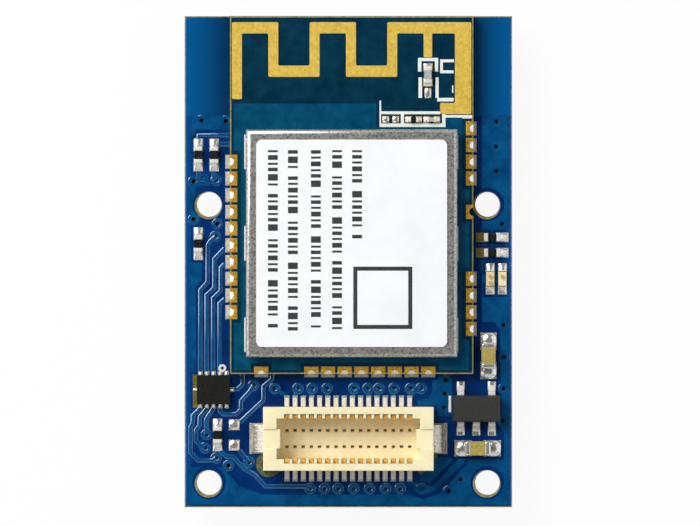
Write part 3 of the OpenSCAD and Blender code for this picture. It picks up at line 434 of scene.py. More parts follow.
# %% Metals
tin_bright = finish("tin_bright", (220, 218, 210), (246, 244, 238), 0.16, (0.12, 0.24), 0.75, 0.1, 0.002)
tin_soft = finish("tin_soft", (222, 220, 212), (244, 243, 238), 0.12, (0.28, 0.42), 0.2, 0.05, 0.0015)
tin_toe = finish("tin_toe", (150, 144, 130), (200, 194, 180), 0.12, (0.45, 0.6), 0.0, 0.04, 0.002)
tin_mottled = finish(
    "tin_mottled", (128, 120, 100), (202, 196, 180), 0.25, (0.5, 0.65), 0.0, 0.06, 0.001, 0.1
)
tin_flow = finish("tin_flow", (176, 170, 154), (234, 230, 218), 0.12, (0.18, 0.3), 0.6, 0.1, 0.002)
can_silver = finish("can_silver", (158, 156, 150), (210, 208, 202), 0.16, (0.25, 0.34), 0.7)

# %% Moulded, fired and printed things
label_film = finish(
    "label_film", (243, 245, 248), (250, 251, 253), 3.0, (0.4, 0.5), grain=0.2, relief=0.0008
)
label_ink = finish("label_ink", (34, 34, 38), (58, 58, 62), 0.1, (0.45, 0.6))
moulding_black = finish(
    "moulding_black", (24, 26, 22), (42, 44, 39), 0.12, (0.5, 0.68), grain=0.03, relief=0.004
)
moulding_fine = finish(
    "moulding_fine", (14, 17, 14), (30, 33, 29), 0.12, (0.5, 0.68), shine=0.15, relief=0.004
)
resistor_black = finish("resistor_black", (14, 15, 17), (32, 33, 36), 0.15, (0.22, 0.36))
ceramic_tan = finish(
    "ceramic_tan", (154, 138, 66), (184, 166, 90), 0.2, (0.4, 0.55), grain=0.03, relief=0.002
)
ceramic_grey = finish(
    "ceramic_grey", (150, 150, 146), (192, 192, 188), 0.2, (0.25, 0.4), grain=0.03, relief=0.002
)
cream_nylon = finish(
    "cream_nylon", (247, 233, 187), (253, 241, 203), 0.8, (0.42, 0.55), grain=0.08, relief=0.002
)
# Painted shade: brown for the shade down in the pockets of the socket's floor.
pocket_painted_shade = finish(
    "pocket_painted_shade", (150, 106, 48), (186, 138, 74), 0.08, (0.5, 0.6), grain=0.04, relief=0.002
)
print_white = finish(
    "print_white", (214, 222, 216), (244, 248, 242), 0.1, (0.55, 0.7), grain=0.04, relief=0.003
)
lamp_resin = finish("lamp_resin", (246, 232, 176), (253, 246, 210), 0.25, (0.1, 0.2))
lamp_base = finish(
    "lamp_base", (240, 228, 176), (252, 244, 206), 0.1, (0.45, 0.6), grain=0.04, relief=0.002
)
lamp_die = finish("lamp_die", (208, 138, 24), (238, 172, 52), 0.06, (0.3, 0.4))
# Painted shade: laminate olive darkened for the shade beside the socket's edge.
rim_olive_painted_shade = finish("rim_olive_painted_shade", (66, 68, 36), (102, 102, 58), 0.2, (0.4, 0.55), grain=0.06, relief=0.003)
ferrite_grey = finish(
    "ferrite_grey", (58, 58, 60), (84, 84, 86), 0.15, (0.5, 0.65), grain=0.04, relief=0.003
)
set_on(cream_nylon, Subsurface_Weight=0.4)
set_on(cream_nylon, Subsurface_Scale=0.5 * MM, Subsurface_Radius=(1, 0.85, 0.5))
set_on(lamp_resin, Alpha=0.15)
set_on(lacquer_line, Coat_Weight=1, Coat_Roughness=0.05, Coat_IOR=1.7)
print("finishes:", len(bpy.data.materials))

# %% [markdown]
# ## Light inside the laminate
# Where no copper lies under the film, light wanders through the glass laminate and comes out again,
# most of all close to the cut edge. The far end of the carrier has no copper at all, so there the
# blue brightens towards both sides. Object coordinates say how far a point is from the middle.

# %% Brighten the film towards the edges
BARE_END = 13.9
GLOW_FROM, EDGE_FROM, EDGE_TO = 7.0, 9.45, 9.9


def between(tree, value, low, high):
    """Runs from 0 to 1 as a value goes from low to high, given in millimetres."""
    step = shader_node(tree, "MapRange", Value=value, From_Min=low * MM, From_Max=high * MM)
    return step.outputs["Result"]


tree = lacquer_film.node_tree
where = tree.nodes["Texture Coordinate"].outputs["Object"]
place = shader_node(tree, "SeparateXYZ", Vector=where).outputs
aside = reckon(tree, "ABSOLUTE", place["X"])
far_end = between(tree, place["Y"], BARE_END - 0.05, BARE_END + 0.05)
outwards = between(tree, aside, GLOW_FROM, EDGE_TO)
at_edge = between(tree, aside, EDGE_FROM, EDGE_TO)
glow = blended(tree, outwards, ink(0, 42, 78), ink(0, 88, 148))
body = blended(tree, at_edge, tree.nodes["Color Ramp"].outputs["Color"], ink(6, 76, 142))
set_on(lacquer_film, Base_Color=blended(tree, far_end, body, glow))
print("film brightens beyond", BARE_END, "mm")

# %% [markdown]
# ## Solids that keep their shape
# Where a solid already has its final form, only its faces are sorted to finishes: the rim of a
# board is bare laminate, the wall of a small drilled hole is painted near black as shade. Each
# face is sorted by its own normal and middle, and no point is moved.

# %% Sort the faces of the solids
HOLES = [(x, y) for x in (-8.5, 8.5) for y in (-8.5, 8.5)]


def dress(node, finishes, pick=None):
    """Gives a solid its finishes and picks one for each face."""
    give(nodes[node], finishes)
    sort_faces(nodes[node], pick or (lambda place, normal: 0))


def in_small_hole(middle, normal):
    """Upright walls away from the rim and the mounting holes belong to drilled vias."""
    upright = abs(normal.z) < 0.5
    inside = abs(middle.x) < 9.9 and -9.9 < middle.y < 19.9
    mounting = any(math.hypot(middle.x - x, middle.y - y) < 0.85 for x, y in HOLES)
    return 1 if upright and inside and not mounting else 0


def at_bare_gold(middle, normal):
    """Lands are tinned but the strip by the level shifter and the inner lands of two resistors, which are
    bare gold darkened with painted shade.
    """
    strip = middle.x < -9.2 and -4.0 < middle.y < -1.8
    inner = 7.6 < middle.x < 8.6 and 5.2 < middle.y < 6.9
    return 1 if strip or inner else 0


# The walls of the small holes take painted shade, near black.
dress("carrier_board", [laminate, bore_painted_shade], in_small_hole)
dress("module_board", [laminate])
# Bare gold lands take gold darkened with painted shade.
dress("carrier_lands", [tin_toe, bare_gold_painted_shade], at_bare_gold)
dress("underside_lands", [tin_toe])
dress("module_lands", [gold_land])
for node in ("radio_chip", "memory_chip"):
    dress(node, [moulding_black])
dress("crystal", [can_silver])
dress("power_inductor", [ferrite_grey])
dress("inner_capacitors", [ceramic_tan])
dress("label", [label_film])
dress("level_shifter_terminals", [tin_soft])
print("dressed solids")

# %% [markdown]
# ## Lacquer on the carrier
# The blue lacquer is a film that stops a little short of the routed edge and leaves the lands, the
# drilled holes and a ring round each mounting hole bare. It is made as one plate with all the
# openings cut at once; the openings round the mounting holes sit a little off centre, as printing
# never meets drilling exactly. Under the socket there is none.

# %% Places of the lands and holes
BOARD_TOP = 0.8
FILM = 0.012
LINE_TOP = 0.836
OVER = (0.7, 0.9)
UNDER = (-0.2, 0.1)
LOCATING = [(x, -7.38) for x in (-4.87, 4.87)]
VIAS_LEFT = [
    (-8.97, 13.62), (-7.5, 13.59), (-9.46, 9.91), (-8.08, 9.98), (-9.46, 7.59), (-8.0, 7.31), (-8.12, 6.55),
    (-5.8, -2.55), (-8.66, -5.55), (-8.76, -6.38), (-8.08, -6.99), (-7.32, -7.45), (-6.07, -7.23),
]
VIAS_RIGHT = [
    (9.05, 13.56), (9.02, 12.03), (9.02, 10.53), (9.39, 7.31), (9.49, 1.13), (9.52, -0.83), (9.48, -2.76),
    (9.45, -4.72), (5.93, -2.24), (5.9, -3.06), (5.84, -3.9), (6.12, -9.01), (6.86, -8.3),
]
FAR_ROW = [-4.51, -3.08, -2.22, -1.3, 0.33, 1.19, 1.87, 2.78, 3.8, 4.44]
NEAR_ROW = [-2.34, -1.46, -0.63, 0.32, 1.29, 2.27, 3.16, 4.47]
FAR_Y, NEAR_Y = -2.74, -8.86
VIAS = VIAS_LEFT + VIAS_RIGHT + [(x, FAR_Y) for x in FAR_ROW] + [(x, NEAR_Y) for x in NEAR_ROW]


def island_boxes(node):
    """The box of each separate solid of a node, in millimetres."""
    only(copy_of(node, "islands", flat=False))
    bpy.ops.mesh.separate(type="LOOSE")
    boxes = []
    for part in list(bpy.context.selected_objects):
        points = [v.co for v in part.data.vertices]
        low = [min(p[i] for p in points) for i in range(3)]
        high = [max(p[i] for p in points) for i in range(3)]
        boxes.append((low, high))
        bpy.data.objects.remove(part)
    return boxes


def round_boxes(boxes, margin, low, high):
    """Cutting blocks that stand round plan boxes with a margin."""
    blocks = []
    for a, b in boxes:
        blocks.append(block((a[0] - margin, a[1] - margin, low), (b[0] + margin, b[1] + margin, high)))
    return blocks


land_boxes = island_boxes("carrier_lands")
print("lands:", len(land_boxes), "vias:", len(VIAS))

# %% The carrier's film
FILM_EDGE = 0.07
LAND_LAP = 0.01
VIA_R = 0.13
RIM_R = 0.78
HOLE_SHIFT = (-0.05, -0.06)
UNDER_SOCKET = ((-5.1, -7.7), (5.1, -3.9))


def film_plate(low, high, name):
    """A plate with the outline of the carrier's lacquer between two heights."""
    near, far_x, far_y = -10 + FILM_EDGE, 10 - FILM_EDGE, 20 - FILM_EDGE
    return joined([block((near, near, low), (far_x, far_y, high))], name)


film = film_plate(BOARD_TOP, BOARD_TOP + FILM, "carrier_lacquer")
openings = round_boxes(land_boxes, -LAND_LAP, *OVER)
openings += [drum(x + HOLE_SHIFT[0], y + HOLE_SHIFT[1], 0.85, *OVER, 48) for x, y in HOLES]
openings += drums(LOCATING, RIM_R, *OVER, 40)
openings += drums(VIAS, VIA_R, *OVER, 16)
openings += round_boxes([UNDER_SOCKET], 0, *OVER)
open_up(film, openings)
settle(film, "carrier_mask", lacquer_film)

# %% [markdown]
# Lacquer flows into a via and closes it low down. The plug is painted near black as painted shade,
# the shade deep in the hole, so from above a via is a black dot. The rims of the two locating holes
# are bare laminate, darkened with painted shade, the shade beside the socket's edge.

# %% Closed vias and bare rims
PLUG_SPAN = (0.3, 0.55)
RIM_T = 0.006
plugs = joined(drums(VIAS, 0.122, *PLUG_SPAN, 12), "via_plugs")
soften(plugs, 0.02, 1)
settle(plugs, "carrier_mask", bore_painted_shade)
rims = []
for x, y in LOCATING:
    rim = drum(x, y, RIM_R + 0.01, BOARD_TOP, BOARD_TOP + RIM_T, 40)
    cut(rim, drum(x, y, 0.47, *OVER, 32))
    rims.append(rim)
# The rims take laminate olive darkened as painted shade.
rims = joined(rims, "locating_rims")
settle(rims, "carrier_mask", rim_olive_painted_shade)

# %% [markdown]
# ## Copper under the lacquer
# Lines of copper about a third of a millimetre wide run from the edge pads to the level shifter and
# the socket, and each drilled via has a ring. They are low rounded ribs in the lighter blue.

# %% Lines and rings
LINES = {
    "left_1": [(-8.12, 6.55), (-8.42, 6.27), (-8.6, 6.03), (-8.6, 3.76), (-9.05, 3.27), (-9.05, -1.75)],
    "left_2": [(-7.56, 5.82), (-8.19, 5.17), (-8.19, 3.39), (-8.67, 2.96), (-8.66, -1.75)],
    "left_3": [(-7.56, 4.86), (-7.8, 4.62), (-7.8, 3.21), (-8.27, 2.78), (-8.26, -1.75)],
    "left_4": [(-7.56, 2.72), (-7.88, 2.44), (-7.86, -1.75)],
    "shift_1": [
        (-9.04, -3.95), (-9.51, -4.4), (-9.51, -4.87), (-9.64, -5.06), (-9.64, -6.65), (-9.18, -7.14),
        (-8.27, -7.14), (-8.08, -6.99),
    ],
    "shift_2": [
        (-8.64, -3.95), (-9.09, -4.5), (-9.09, -5.0), (-9.31, -5.27), (-9.31, -5.92), (-8.88, -6.37),
        (-8.76, -6.37),
    ],
    "shift_3": [(-8.24, -3.95), (-8.68, -4.6), (-8.68, -5.12), (-8.67, -5.55)],
    "shift_4": [
        (-7.84, -3.95), (-7.84, -4.14), (-7.66, -4.32), (-6.86, -4.32), (-6.57, -4.02), (-6.57, -3.5),
        (-6.01, -2.91), (-5.79, -2.55),
    ],
    "edge_1": [(-6.47, -1.75), (-6.47, -2.49), (-6.74, -2.77), (-6.98, -2.77)],
    "edge_2": [
        (-4.63, -1.75), (-4.69, -2.18), (-5.19, -2.61), (-5.19, -3.47), (-6.5, -4.69), (-6.65, -4.8),
    ],
    "pull_1": [(-6.68, -6.52), (-6.31, -6.96), (-6.07, -7.23)],
    "pull_2": [
        (-7.85, -6.55), (-7.44, -6.9), (-7.05, -6.9), (-6.37, -7.63), (-5.7, -8.03), (-5.06, -8.72),
        (-2.59, -8.72), (-2.34, -8.86),
    ],
    "upper_1": [(-9.16, 12.5), (-9.16, 12.73), (-7.29, 12.73)],
    "upper_2": [(-7.9, 12.18), (-7.23, 12.18)],
    "upper_3": [(-9.16, 10.5), (-9.16, 10.01), (-8.76, 10.01)],
    "upper_4": [(-8.21, 10.5), (-8.21, 10.13), (-8.08, 9.98)],
}
FILM_TOP = BOARD_TOP + FILM
LINE_W, LINE_RISE = 0.29, 0.045
RING_R, RING_RISE = 0.36, 0.02
tracks = ribs("lines", list(LINES.values()), LINE_W, FILM_TOP, LINE_RISE)
rings = [ring(x, y, VIA_R + 0.005, RING_R, FILM_TOP, RING_RISE) for x, y in VIAS]
tracks = joined([tracks] + rings, "carrier_tracks")
settle(tracks, "carrier_mask", lacquer_line)

# %% [markdown]
# Short stubs lead from the two rows of vias to the nearest contacts of the socket. They are thinner
# and lower than the lines, so they take the softer blue of the areas.

# %% Stubs at the socket
TAILS = [-3.75 + 0.5 * k for k in range(16)]
STUB_W, STUB_RISE = 0.2, 0.012


def nearest_tail(x):
    """The contact that a via lies closest to."""
    return min(TAILS, key=lambda tail: abs(tail - x))


stubs = [[(x, FAR_Y), (nearest_tail(x), -3.2)] for x in FAR_ROW]
stubs += [[(x, NEAR_Y), (nearest_tail(x), -8.4)] for x in NEAR_ROW]
stubs = ribs("carrier_stubs", stubs, STUB_W, FILM_TOP, STUB_RISE)
settle(stubs, "carrier_mask", lacquer_copper)

# %% [markdown]
# ## Copper areas
# Ground copper fills the right strip, the lower edge and part of the left strip. Each area is a
# flat shape, and the clearance round lines, vias, lands and mounting holes is cut out of it. Its
# rims are rolled, because lacquer flows over the copper's edge and that is where light catches.

# %% Areas with their clearances
AREAS = [
    [(-9.67, 13.89), (-7.29, 13.89), (-7.29, 13.07), (-9.31, 13.07), (-9.31, -2.0), (-9.67, -2.0)],
    [(-9.31, 10.37), (-8.63, 10.37), (-8.39, 9.64), (-9.31, 9.64)],
    [(-9.31, 4.98), (-8.94, 4.98), (-8.94, 3.82), (-9.25, 3.52), (-9.31, 3.52)],
    [
        (8.16, 13.89), (9.84, 13.89), (9.84, -9.85), (-9.78, -9.85), (-9.78, -7.57), (-7.72, -7.57),
        (-6.62, -8.73), (-5.27, -9.22), (3.7, -9.22), (4.01, -9.35), (4.56, -9.5), (5.05, -9.35),
        (5.6, -9.16), (7.31, -7.32), (7.34, -7.08), (9.51, -7.08), (9.51, -5.43), (9.29, -5.18),
        (9.29, 0.82), (8.9, 1.31), (8.16, 1.31),
    ],
    [
        (5.14, -2.06), (6.33, -2.06), (6.33, -4.45), (5.42, -4.45), (5.42, -3.77), (4.25, -3.77),
        (4.25, -3.47), (4.87, -3.34), (5.11, -2.98),
    ],
    [
        (6.7, -7.08), (5.17, -8.73), (4.47, -8.58), (4.01, -8.79), (4.01, -9.04), (4.47, -9.25),
        (4.93, -9.1), (5.35, -8.95), (7.09, -7.26), (7.13, -6.95), (6.7, -6.95),
    ],
    [(5.35, -6.95), (6.2, -6.95), (6.38, -7.12), (4.95, -8.52), (4.4, -8.36), (4.4, -8.1)],
]
LAND_CLEAR, HOLE_CLEAR, LINE_CLEAR = 0.16, 1.02, 0.5
AREA_ROLL = 0.018
pour = joined([flat_shape("area", area, FILM_TOP, LINE_TOP) for area in AREAS], "carrier_areas")
gaps = round_boxes(land_boxes, LAND_CLEAR, *OVER)
gaps += drums(HOLES, HOLE_CLEAR, *OVER, 48)
gaps += drums(VIAS, VIA_R, *OVER, 16)
gaps += [ribs("gap", list(LINES.values()), LINE_CLEAR, BOARD_TOP, 0.2)]
open_up(pour, gaps)
roll_rims(pour, LINE_TOP, AREA_ROLL)
settle(pour, "carrier_mask", lacquer_copper)

# %% [markdown]
# ## The underside
# The other face has the same lacquer over one wide ground area. It closes the vias, so no floor
# shows through them; from above they look black by the painted shade of their plugs. The area
# keeps clear of the header's lands, its two pegs and the mounting holes.

# %% Film, copper and closed vias below
UNDER_COPPER = -0.036
under_boxes = island_boxes("underside_lands")
film = film_plate(-FILM, 0, "underside_lacquer")
openings = round_boxes(under_boxes, -LAND_LAP, *UNDER)
openings += drums(HOLES, 0.88, *UNDER, 48)
openings += drums(LOCATING, RIM_R, *UNDER, 40)
open_up(film, openings)
settle(film, "carrier_mask", lacquer_film)
pour = joined([block((-9.68, -9.68, UNDER_COPPER), (9.68, BARE_END, -FILM))], "underside_areas")
gaps = round_boxes(under_boxes, LAND_CLEAR, *UNDER)
gaps += drums(HOLES, HOLE_CLEAR, *UNDER, 48)
gaps += drums(LOCATING, 0.92, *UNDER, 40)
gaps += drums(VIAS_LEFT, 0.52, *UNDER, 24)
open_up(pour, gaps)
roll_rims(pour, UNDER_COPPER, AREA_ROLL)
settle(pour, "carrier_mask", lacquer_copper)
low_rings = joined([ring(x, y, 0.12, RING_R, -FILM, RING_RISE) for x, y in VIAS_LEFT], "underside_vias")
settle(low_rings, "carrier_mask", lacquer_copper)

# %% [markdown]
# ## The module's face
# The module is a second board with its own darker, greener lacquer. Its ground copper stops short
# of the antenna and keeps clear of the gold edge pads, which shows as a darker border.

# %% Module film and ground
MODULE_TOP = 1.68
GROUND_TOP = 1.708
ON_MODULE = (1.6, 1.8)
PAD_CLEAR, GROUND_ROLL = 0.22, 0.012
NO_GROUND = [((1.7, 13.2), (5.95, 14.8)), ((5.6, 13.8), (7.6, 14.8)), ((-6.15, -0.75), (6.55, 12.97))]
pad_boxes = island_boxes("castellation_pads")
film = joined([block((-7.14, -1.77, MODULE_TOP), (7.55, 19.9, MODULE_TOP + FILM))], "module_lacquer")
open_up(film, round_boxes(pad_boxes, -LAND_LAP, *ON_MODULE))
settle(film, "module_mask", lacquer_module)
ground = joined([block((-6.98, -1.62, MODULE_TOP + FILM), (7.38, 14.65, GROUND_TOP))], "module_ground")
gaps = round_boxes(pad_boxes, PAD_CLEAR, *ON_MODULE) + round_boxes(NO_GROUND, 0, *ON_MODULE)
open_up(ground, gaps)
roll_rims(ground, GROUND_TOP, GROUND_ROLL)
settle(ground, "module_mask", lacquer_ground)
skin("castellation_pads", 0.018, 2, "gold_plate", gold_land, name="edge_pads")

# %% [markdown]
# ## The antenna
# The antenna is a folded strip of gilded copper. Etching leaves its corners slightly round, so the
# upright edges get a wide bevel and the upper rim a fine one.

# %% Antenna with etched corners
ANTENNA_TOP = MODULE_TOP + 0.04
CORNER_R, RIM_ROLL = 0.09, 0.012
antenna = copy_of("antenna", "antenna_skin")
only(antenna)
deselect_mesh(antenna)
for edge in antenna.data.edges:
    ends = [antenna.data.vertices[v].co for v in edge.vertices]
    edge.select = abs(ends[0].z - ends[1].z) > 0.02
bpy.ops.object.mode_set(mode="EDIT")
bpy.ops.mesh.select_mode(type="EDGE")
bpy.ops.mesh.bevel(offset=CORNER_R, segments=4, affect="EDGES", clamp_overlap=True)
bpy.ops.object.mode_set(mode="OBJECT")
roll_rims(antenna, ANTENNA_TOP, RIM_ROLL)
settle(antenna, "gold_plate", gold_antenna, "antenna")

# %% [markdown]
# ## White print
# A few plain white frames mark where parts go. They are flat bars a hundredth of a millimetre thick
# with rolled rims. Where bars of one frame meet, they are fused before the rims are rolled.

# %% Print bars on both boards
PRINT_MODULE = [
    ((4.25, 17.24), (5.48, 17.44)), ((4.25, 16.6), (4.46, 17.3)), ((5.28, 16.6), (5.48, 17.3)),
    ((4.28, 15.0), (4.5, 16.25)), ((5.32, 15.0), (5.51, 16.25)),
    ((5.6, 17.17), (6.45, 17.35)), ((5.6, 16.5), (5.77, 17.35)), ((5.6, 16.5), (6.42, 16.68)),
    ((6.33, 15.3), (6.41, 15.75)),
    ((5.42, 14.78), (6.42, 15.0)),
    ((1.9, 13.25), (2.0, 14.84)), ((1.9, 14.0), (5.6, 14.18)), ((3.2, 13.3), (3.4, 14.1)),
    ((1.9, 13.22), (5.93, 13.44)), ((5.72, 13.25), (5.93, 14.18)), ((5.78, 13.74), (7.55, 13.95)),
]
PRINT_T = 0.012
DOT = (-7.7, -1.5)
marks = [block((*a, MODULE_TOP + FILM), (*b, MODULE_TOP + FILM + PRINT_T)) for a, b in PRINT_MODULE]
marks += [block((6.12, -4.19, FILM_TOP), (6.28, -3.19, LINE_TOP + 0.01))]
dot = drum(*DOT, 0.24, LINE_TOP - 0.02, FILM_TOP + LINE_RISE + 0.008)
cut(dot, drum(*DOT, 0.1, *OVER, 24))
white_print = joined(marks + [dot], "white_print")
fuse(white_print)
merge(white_print, flat=True)
soften(white_print, 0.004, 1)
settle(white_print, "module_mask", print_white)

# %% [markdown]
# ## The can and its label
# The lid is thin nickel silver folded on four sides. Its copy keeps the folds, gets rolled cut
# edges and smooth bends, so that the bends carry the bright lines that the lamps draw on them.

# %% Can
FOLD_ANGLE = 50
skin("shield_can", 0.03, 2, "can_metal", can_silver, FOLD_ANGLE, "can_skin")

# %% [markdown]
# The label carries rows of plain bars and an empty frame. The bars are thin plates on the film, in
# a few lengths that repeat.

# %% Plain rows on the label
LABEL_TOP = 3.06
PRINT_THICK = 0.004
BAR_LENGTHS = (0.13, 0.3, 0.13, 0.22, 0.4, 0.13, 0.22)
BAR_TALL, BAR_GAP = 0.6, 0.17
BARS_IN_GROUP = 6
ROW_TOP = 11.8
ROWS = [(-4.6, 0.6), (-3.38, 0.5), (-1.98, 0.6), (-0.69, 0.5), (0.53, 6.0)]


def bar_length(count):
    """The length of a row's next bar."""
    return BAR_LENGTHS[count % len(BAR_LENGTHS)]


def bar_row(x, bottom, count):
    """A row of plain bars that runs down the label, with a wider gap after each group."""
    bars = []
    y = ROW_TOP
    while y - bar_length(count) > bottom:
        low = (x - BAR_TALL / 2, y - bar_length(count), LABEL_TOP)
        bars.append(block(low, (x + BAR_TALL / 2, y, LABEL_TOP + PRINT_THICK)))
        y = low[1]
        count += 1
        y -= 3 * BAR_GAP if count % BARS_IN_GROUP == 0 else BAR_GAP
    return bars


bars = []
for k, (x, bottom) in enumerate(ROWS):
    bars += bar_row(x, bottom, 3 * k)
frame_piece = block((0.3, 0.9, LABEL_TOP), (3.9, 4.7, LABEL_TOP + PRINT_THICK))
cut(frame_piece, block((0.55, 1.15, LABEL_TOP - 0.1), (3.65, 4.45, LABEL_TOP + 0.1)))
rows = joined(bars + [frame_piece], "label_rows")
soften(rows, 0.0015, 1)
settle(rows, "label_paper", label_ink)

# %% [markdown]
# ## Chips
# Small chips have a dark or tan body and two metal ends whose edges are rolled far more than the
# body's. So body and ends start as three boxes in the solid's own place, each with its own roll,
# and the faces are sorted by their distance from the chip's middle: the far ones are metal.

# %% Resistors, capacitors and matching parts
END_T = 0.02


def long_axis(node):
    """The axis along which a chip is longest."""
    low, high = size_of(node)
    size = high - low
    return 0 if size.x > size.y else 1


def chip(node, slot, body, end, roll, tin):
    """A body between two metal ends with rolled edges, in the chip's own box."""
    low, high = size_of(node)
    axis = long_axis(node)
    across = 1 - axis
    inset = [0, 0, END_T]
    inset[axis], inset[across] = END_T + roll, END_T
    core = block([a + d for a, d in zip(low, inset)], [b - d for b, d in zip(high, inset)])
    soften(core, END_T, 2)
    parts = [core]
    for near_end in (True, False):
        first, last = list(low), list(high)
        if near_end:
            last[axis] = low[axis] + end
        else:
            first[axis] = high[axis] - end
        cap = block(first, last)
        soften(cap, roll, 4)
        parts.append(cap)
    piece = joined(parts, node + "_skin")
    middle, reach = (low + high)[axis] / 2, (high - low)[axis] / 2 - end
    settle(piece, slot, [body, tin], node)
    sort_faces(piece, lambda place, normal: 1 if abs(place[axis] - middle) > reach else 0)


for k in range(1, 7):
    chip("resistor_%d" % k, "chip_ceramic", resistor_black, 0.25, 0.05, tin_soft)
for k in (1, 2):
    chip("capacitor_%d" % k, "capacitor_ceramic", ceramic_tan, 0.4, 0.14, tin_bright)
chip("feed_chip", "chip_ceramic", ceramic_grey, 0.25, 0.07, tin_soft)
chip("matching_chip_1", "chip_ceramic", resistor_black, 0.15, 0.04, tin_soft)
chip("matching_chip_2", "chip_ceramic", ceramic_grey, 0.15, 0.04, tin_soft)

# %% [markdown]
# ## Lamps
# Each lamp is a small pale base with metal ends and a block of clear resin on it. Through the
# resin one sees tiny dies on a bright bed, so these are modelled inside it. The resin is part
# see-through rather than refracting, so that lamplight reaches what lies in it.

# %% Lamp bodies, beds and dies
LAMP_BASE, LAMP_END = 0.15, 0.42
BED_IN_X, BED_IN_Y = 0.03, 0.12
DIE_X, DIE_Y = 0.1, 0.09


def chip_lamp(node, die_places):
    """A lamp's body, the bed in its resin and the dies on that bed."""
    low, high = size_of(node)
    bed_z = low.z + LAMP_BASE
    middle = (low + high) / 2

    def lamp_part(place, normal):
        """Resin above the bed, metal at the ends of the base and pale board between them."""
        if place.z > bed_z + 0.005:
            return 0
        return 2 if abs(place.y - middle.y) > LAMP_END else 1

    sort_faces(skin(node, 0.04, 3, "lamp_resin", [lamp_resin, lamp_base, tin_soft]), lamp_part)
    bed_low = (low.x + BED_IN_X, low.y + BED_IN_Y, bed_z - 0.03)
    bed = block(bed_low, (high.x - BED_IN_X, high.y - BED_IN_Y, bed_z + 0.02))
    soften(bed, 0.008, 1)
    settle(joined([bed], node + "_bed"), "lamp_resin", lamp_base)
    dies = []
    for y in [middle.y + place for place in die_places]:
        die_low = (middle.x - DIE_X, y - DIE_Y, bed_z + 0.02)
        dies.append(block(die_low, (middle.x + DIE_X, y + DIE_Y, high.z - 0.06)))
    die = joined(dies, node + "_die")
    soften(die, 0.02, 2)
    settle(die, "lamp_resin", lamp_die)


chip_lamp("lamp_1", (-0.22, 0.16))
chip_lamp("lamp_2", (0.14,))

# %% [markdown]
# ## Moulded chips
# The level shifter and the regulator are black moulding compound with a fine grain. The regulator
# has drafted flanks already; both get rolled edges and nothing else.

# %% Level shifter, regulator and leads
DRAFT_ANGLE = 20
MOULDED = [("level_shifter", 0.02, moulding_fine), ("regulator", 0.035, moulding_black)]
for node, roll, moulding in MOULDED:
    skin(node, roll, 3, "moulded_black", moulding, DRAFT_ANGLE)
skin("regulator_leads", 0.025, 2, "solder", tin_soft)

# %% [markdown]
# ## Solder
# Molten solder climbs a chip's end and thins out towards the edge of its land, and across the land
# it stands in an arch, which is why its two flanks shine. A lying half drum has that arch. Its
# outer end is pressed low and its middle a little, which draws it out into a fillet.

# %% One arched fillet
SAG = 0.6


def fillet(start, end, sides, base, rise, lip, axis):
    """An arched fillet from its high end at start to its low lip at end, standing on base."""
    across = 1 - axis
    length = abs(end - start)
    centre = [0, 0, base]
    centre[axis], centre[across] = (start + end) / 2, sum(sides) / 2
    turn = (0, math.pi / 2, 0) if axis == 0 else (math.pi / 2, 0, 0)
    bpy.ops.mesh.primitive_cylinder_add(vertices=32, radius=1, depth=length, location=centre, rotation=turn)
    piece = joined([bpy.context.active_object], "fillet")
    bpy.ops.object.mode_set(mode="EDIT")
    stretch = [1, 1, rise]
    stretch[across] = (sides[1] - sides[0]) / 2
    bpy.ops.transform.resize(value=stretch, center_override=centre)
    bpy.ops.mesh.bisect(plane_co=(0, 0, base), plane_no=(0, 0, 1), use_fill=True, clear_inner=True)
    for share in (1 / 3, 2 / 3):
        spot = [0, 0, 0]
        spot[axis] = start + (end - start) * share
        bpy.ops.mesh.select_all(action="SELECT")
        bpy.ops.mesh.bisect(plane_co=spot, plane_no=[1 - axis, axis, 0])
    bpy.ops.object.mode_set(mode="OBJECT")
    for share in (1 / 3, 2 / 3, 1):
        press_ring(piece, axis, start + (end - start) * share, base, 1 - (1 - lip / rise) * share ** SAG)
    return piece


def press_ring(piece, axis, place, base, share):
    """Presses the points at one place along the axis down towards the base."""
    only(piece)
    deselect_mesh(piece)
    for point in piece.data.vertices:
        point.select = abs(point.co[axis] - place) < 0.001
    bpy.ops.object.mode_set(mode="EDIT")
    bpy.ops.mesh.select_mode(type="VERT")
    bpy.ops.transform.resize(value=(1, 1, share), center_override=(0, 0, base))
    bpy.ops.object.mode_set(mode="OBJECT")


# %% Melting
def flow(piece, voxel, rounds):
    """Rounds a shape as melting would: fine cells first, then rounds of smoothing."""
    add_modifier(piece, "REMESH", mode="VOXEL", voxel_size=voxel)
    add_modifier(piece, "SMOOTH", factor=0.5, iterations=rounds)


def clear_flakes(piece):
    """Deletes faces with an open edge: what melting has drawn out to no thickness."""
    only(piece)
    bpy.ops.object.mode_set(mode="EDIT")
    bpy.ops.mesh.select_mode(type="EDGE")
    bpy.ops.mesh.select_all(action="DESELECT")
    bpy.ops.mesh.select_non_manifold(
        use_wire=False, use_multi_face=False, use_non_contiguous=False, use_verts=False
    )
    bpy.ops.mesh.select_mode(type="FACE", use_expand=True)
    bpy.ops.mesh.delete(type="FACE")
    bpy.ops.object.mode_set(mode="OBJECT")


def melt(pieces, name, voxel, rounds, finish_with, node):
    """Melts pieces of solder into one that stands for a node."""
    piece = joined(pieces, name)
    flow(piece, voxel, rounds)
    merge(piece)
    clear_flakes(piece)
    bpy.ops.object.shade_smooth()
    settle(piece, "solder", finish_with, node)


# %% Solder on a land
CROWN_REACH = 0.62
CHIP_LAP, LAND_IN = 0.03, 0.01


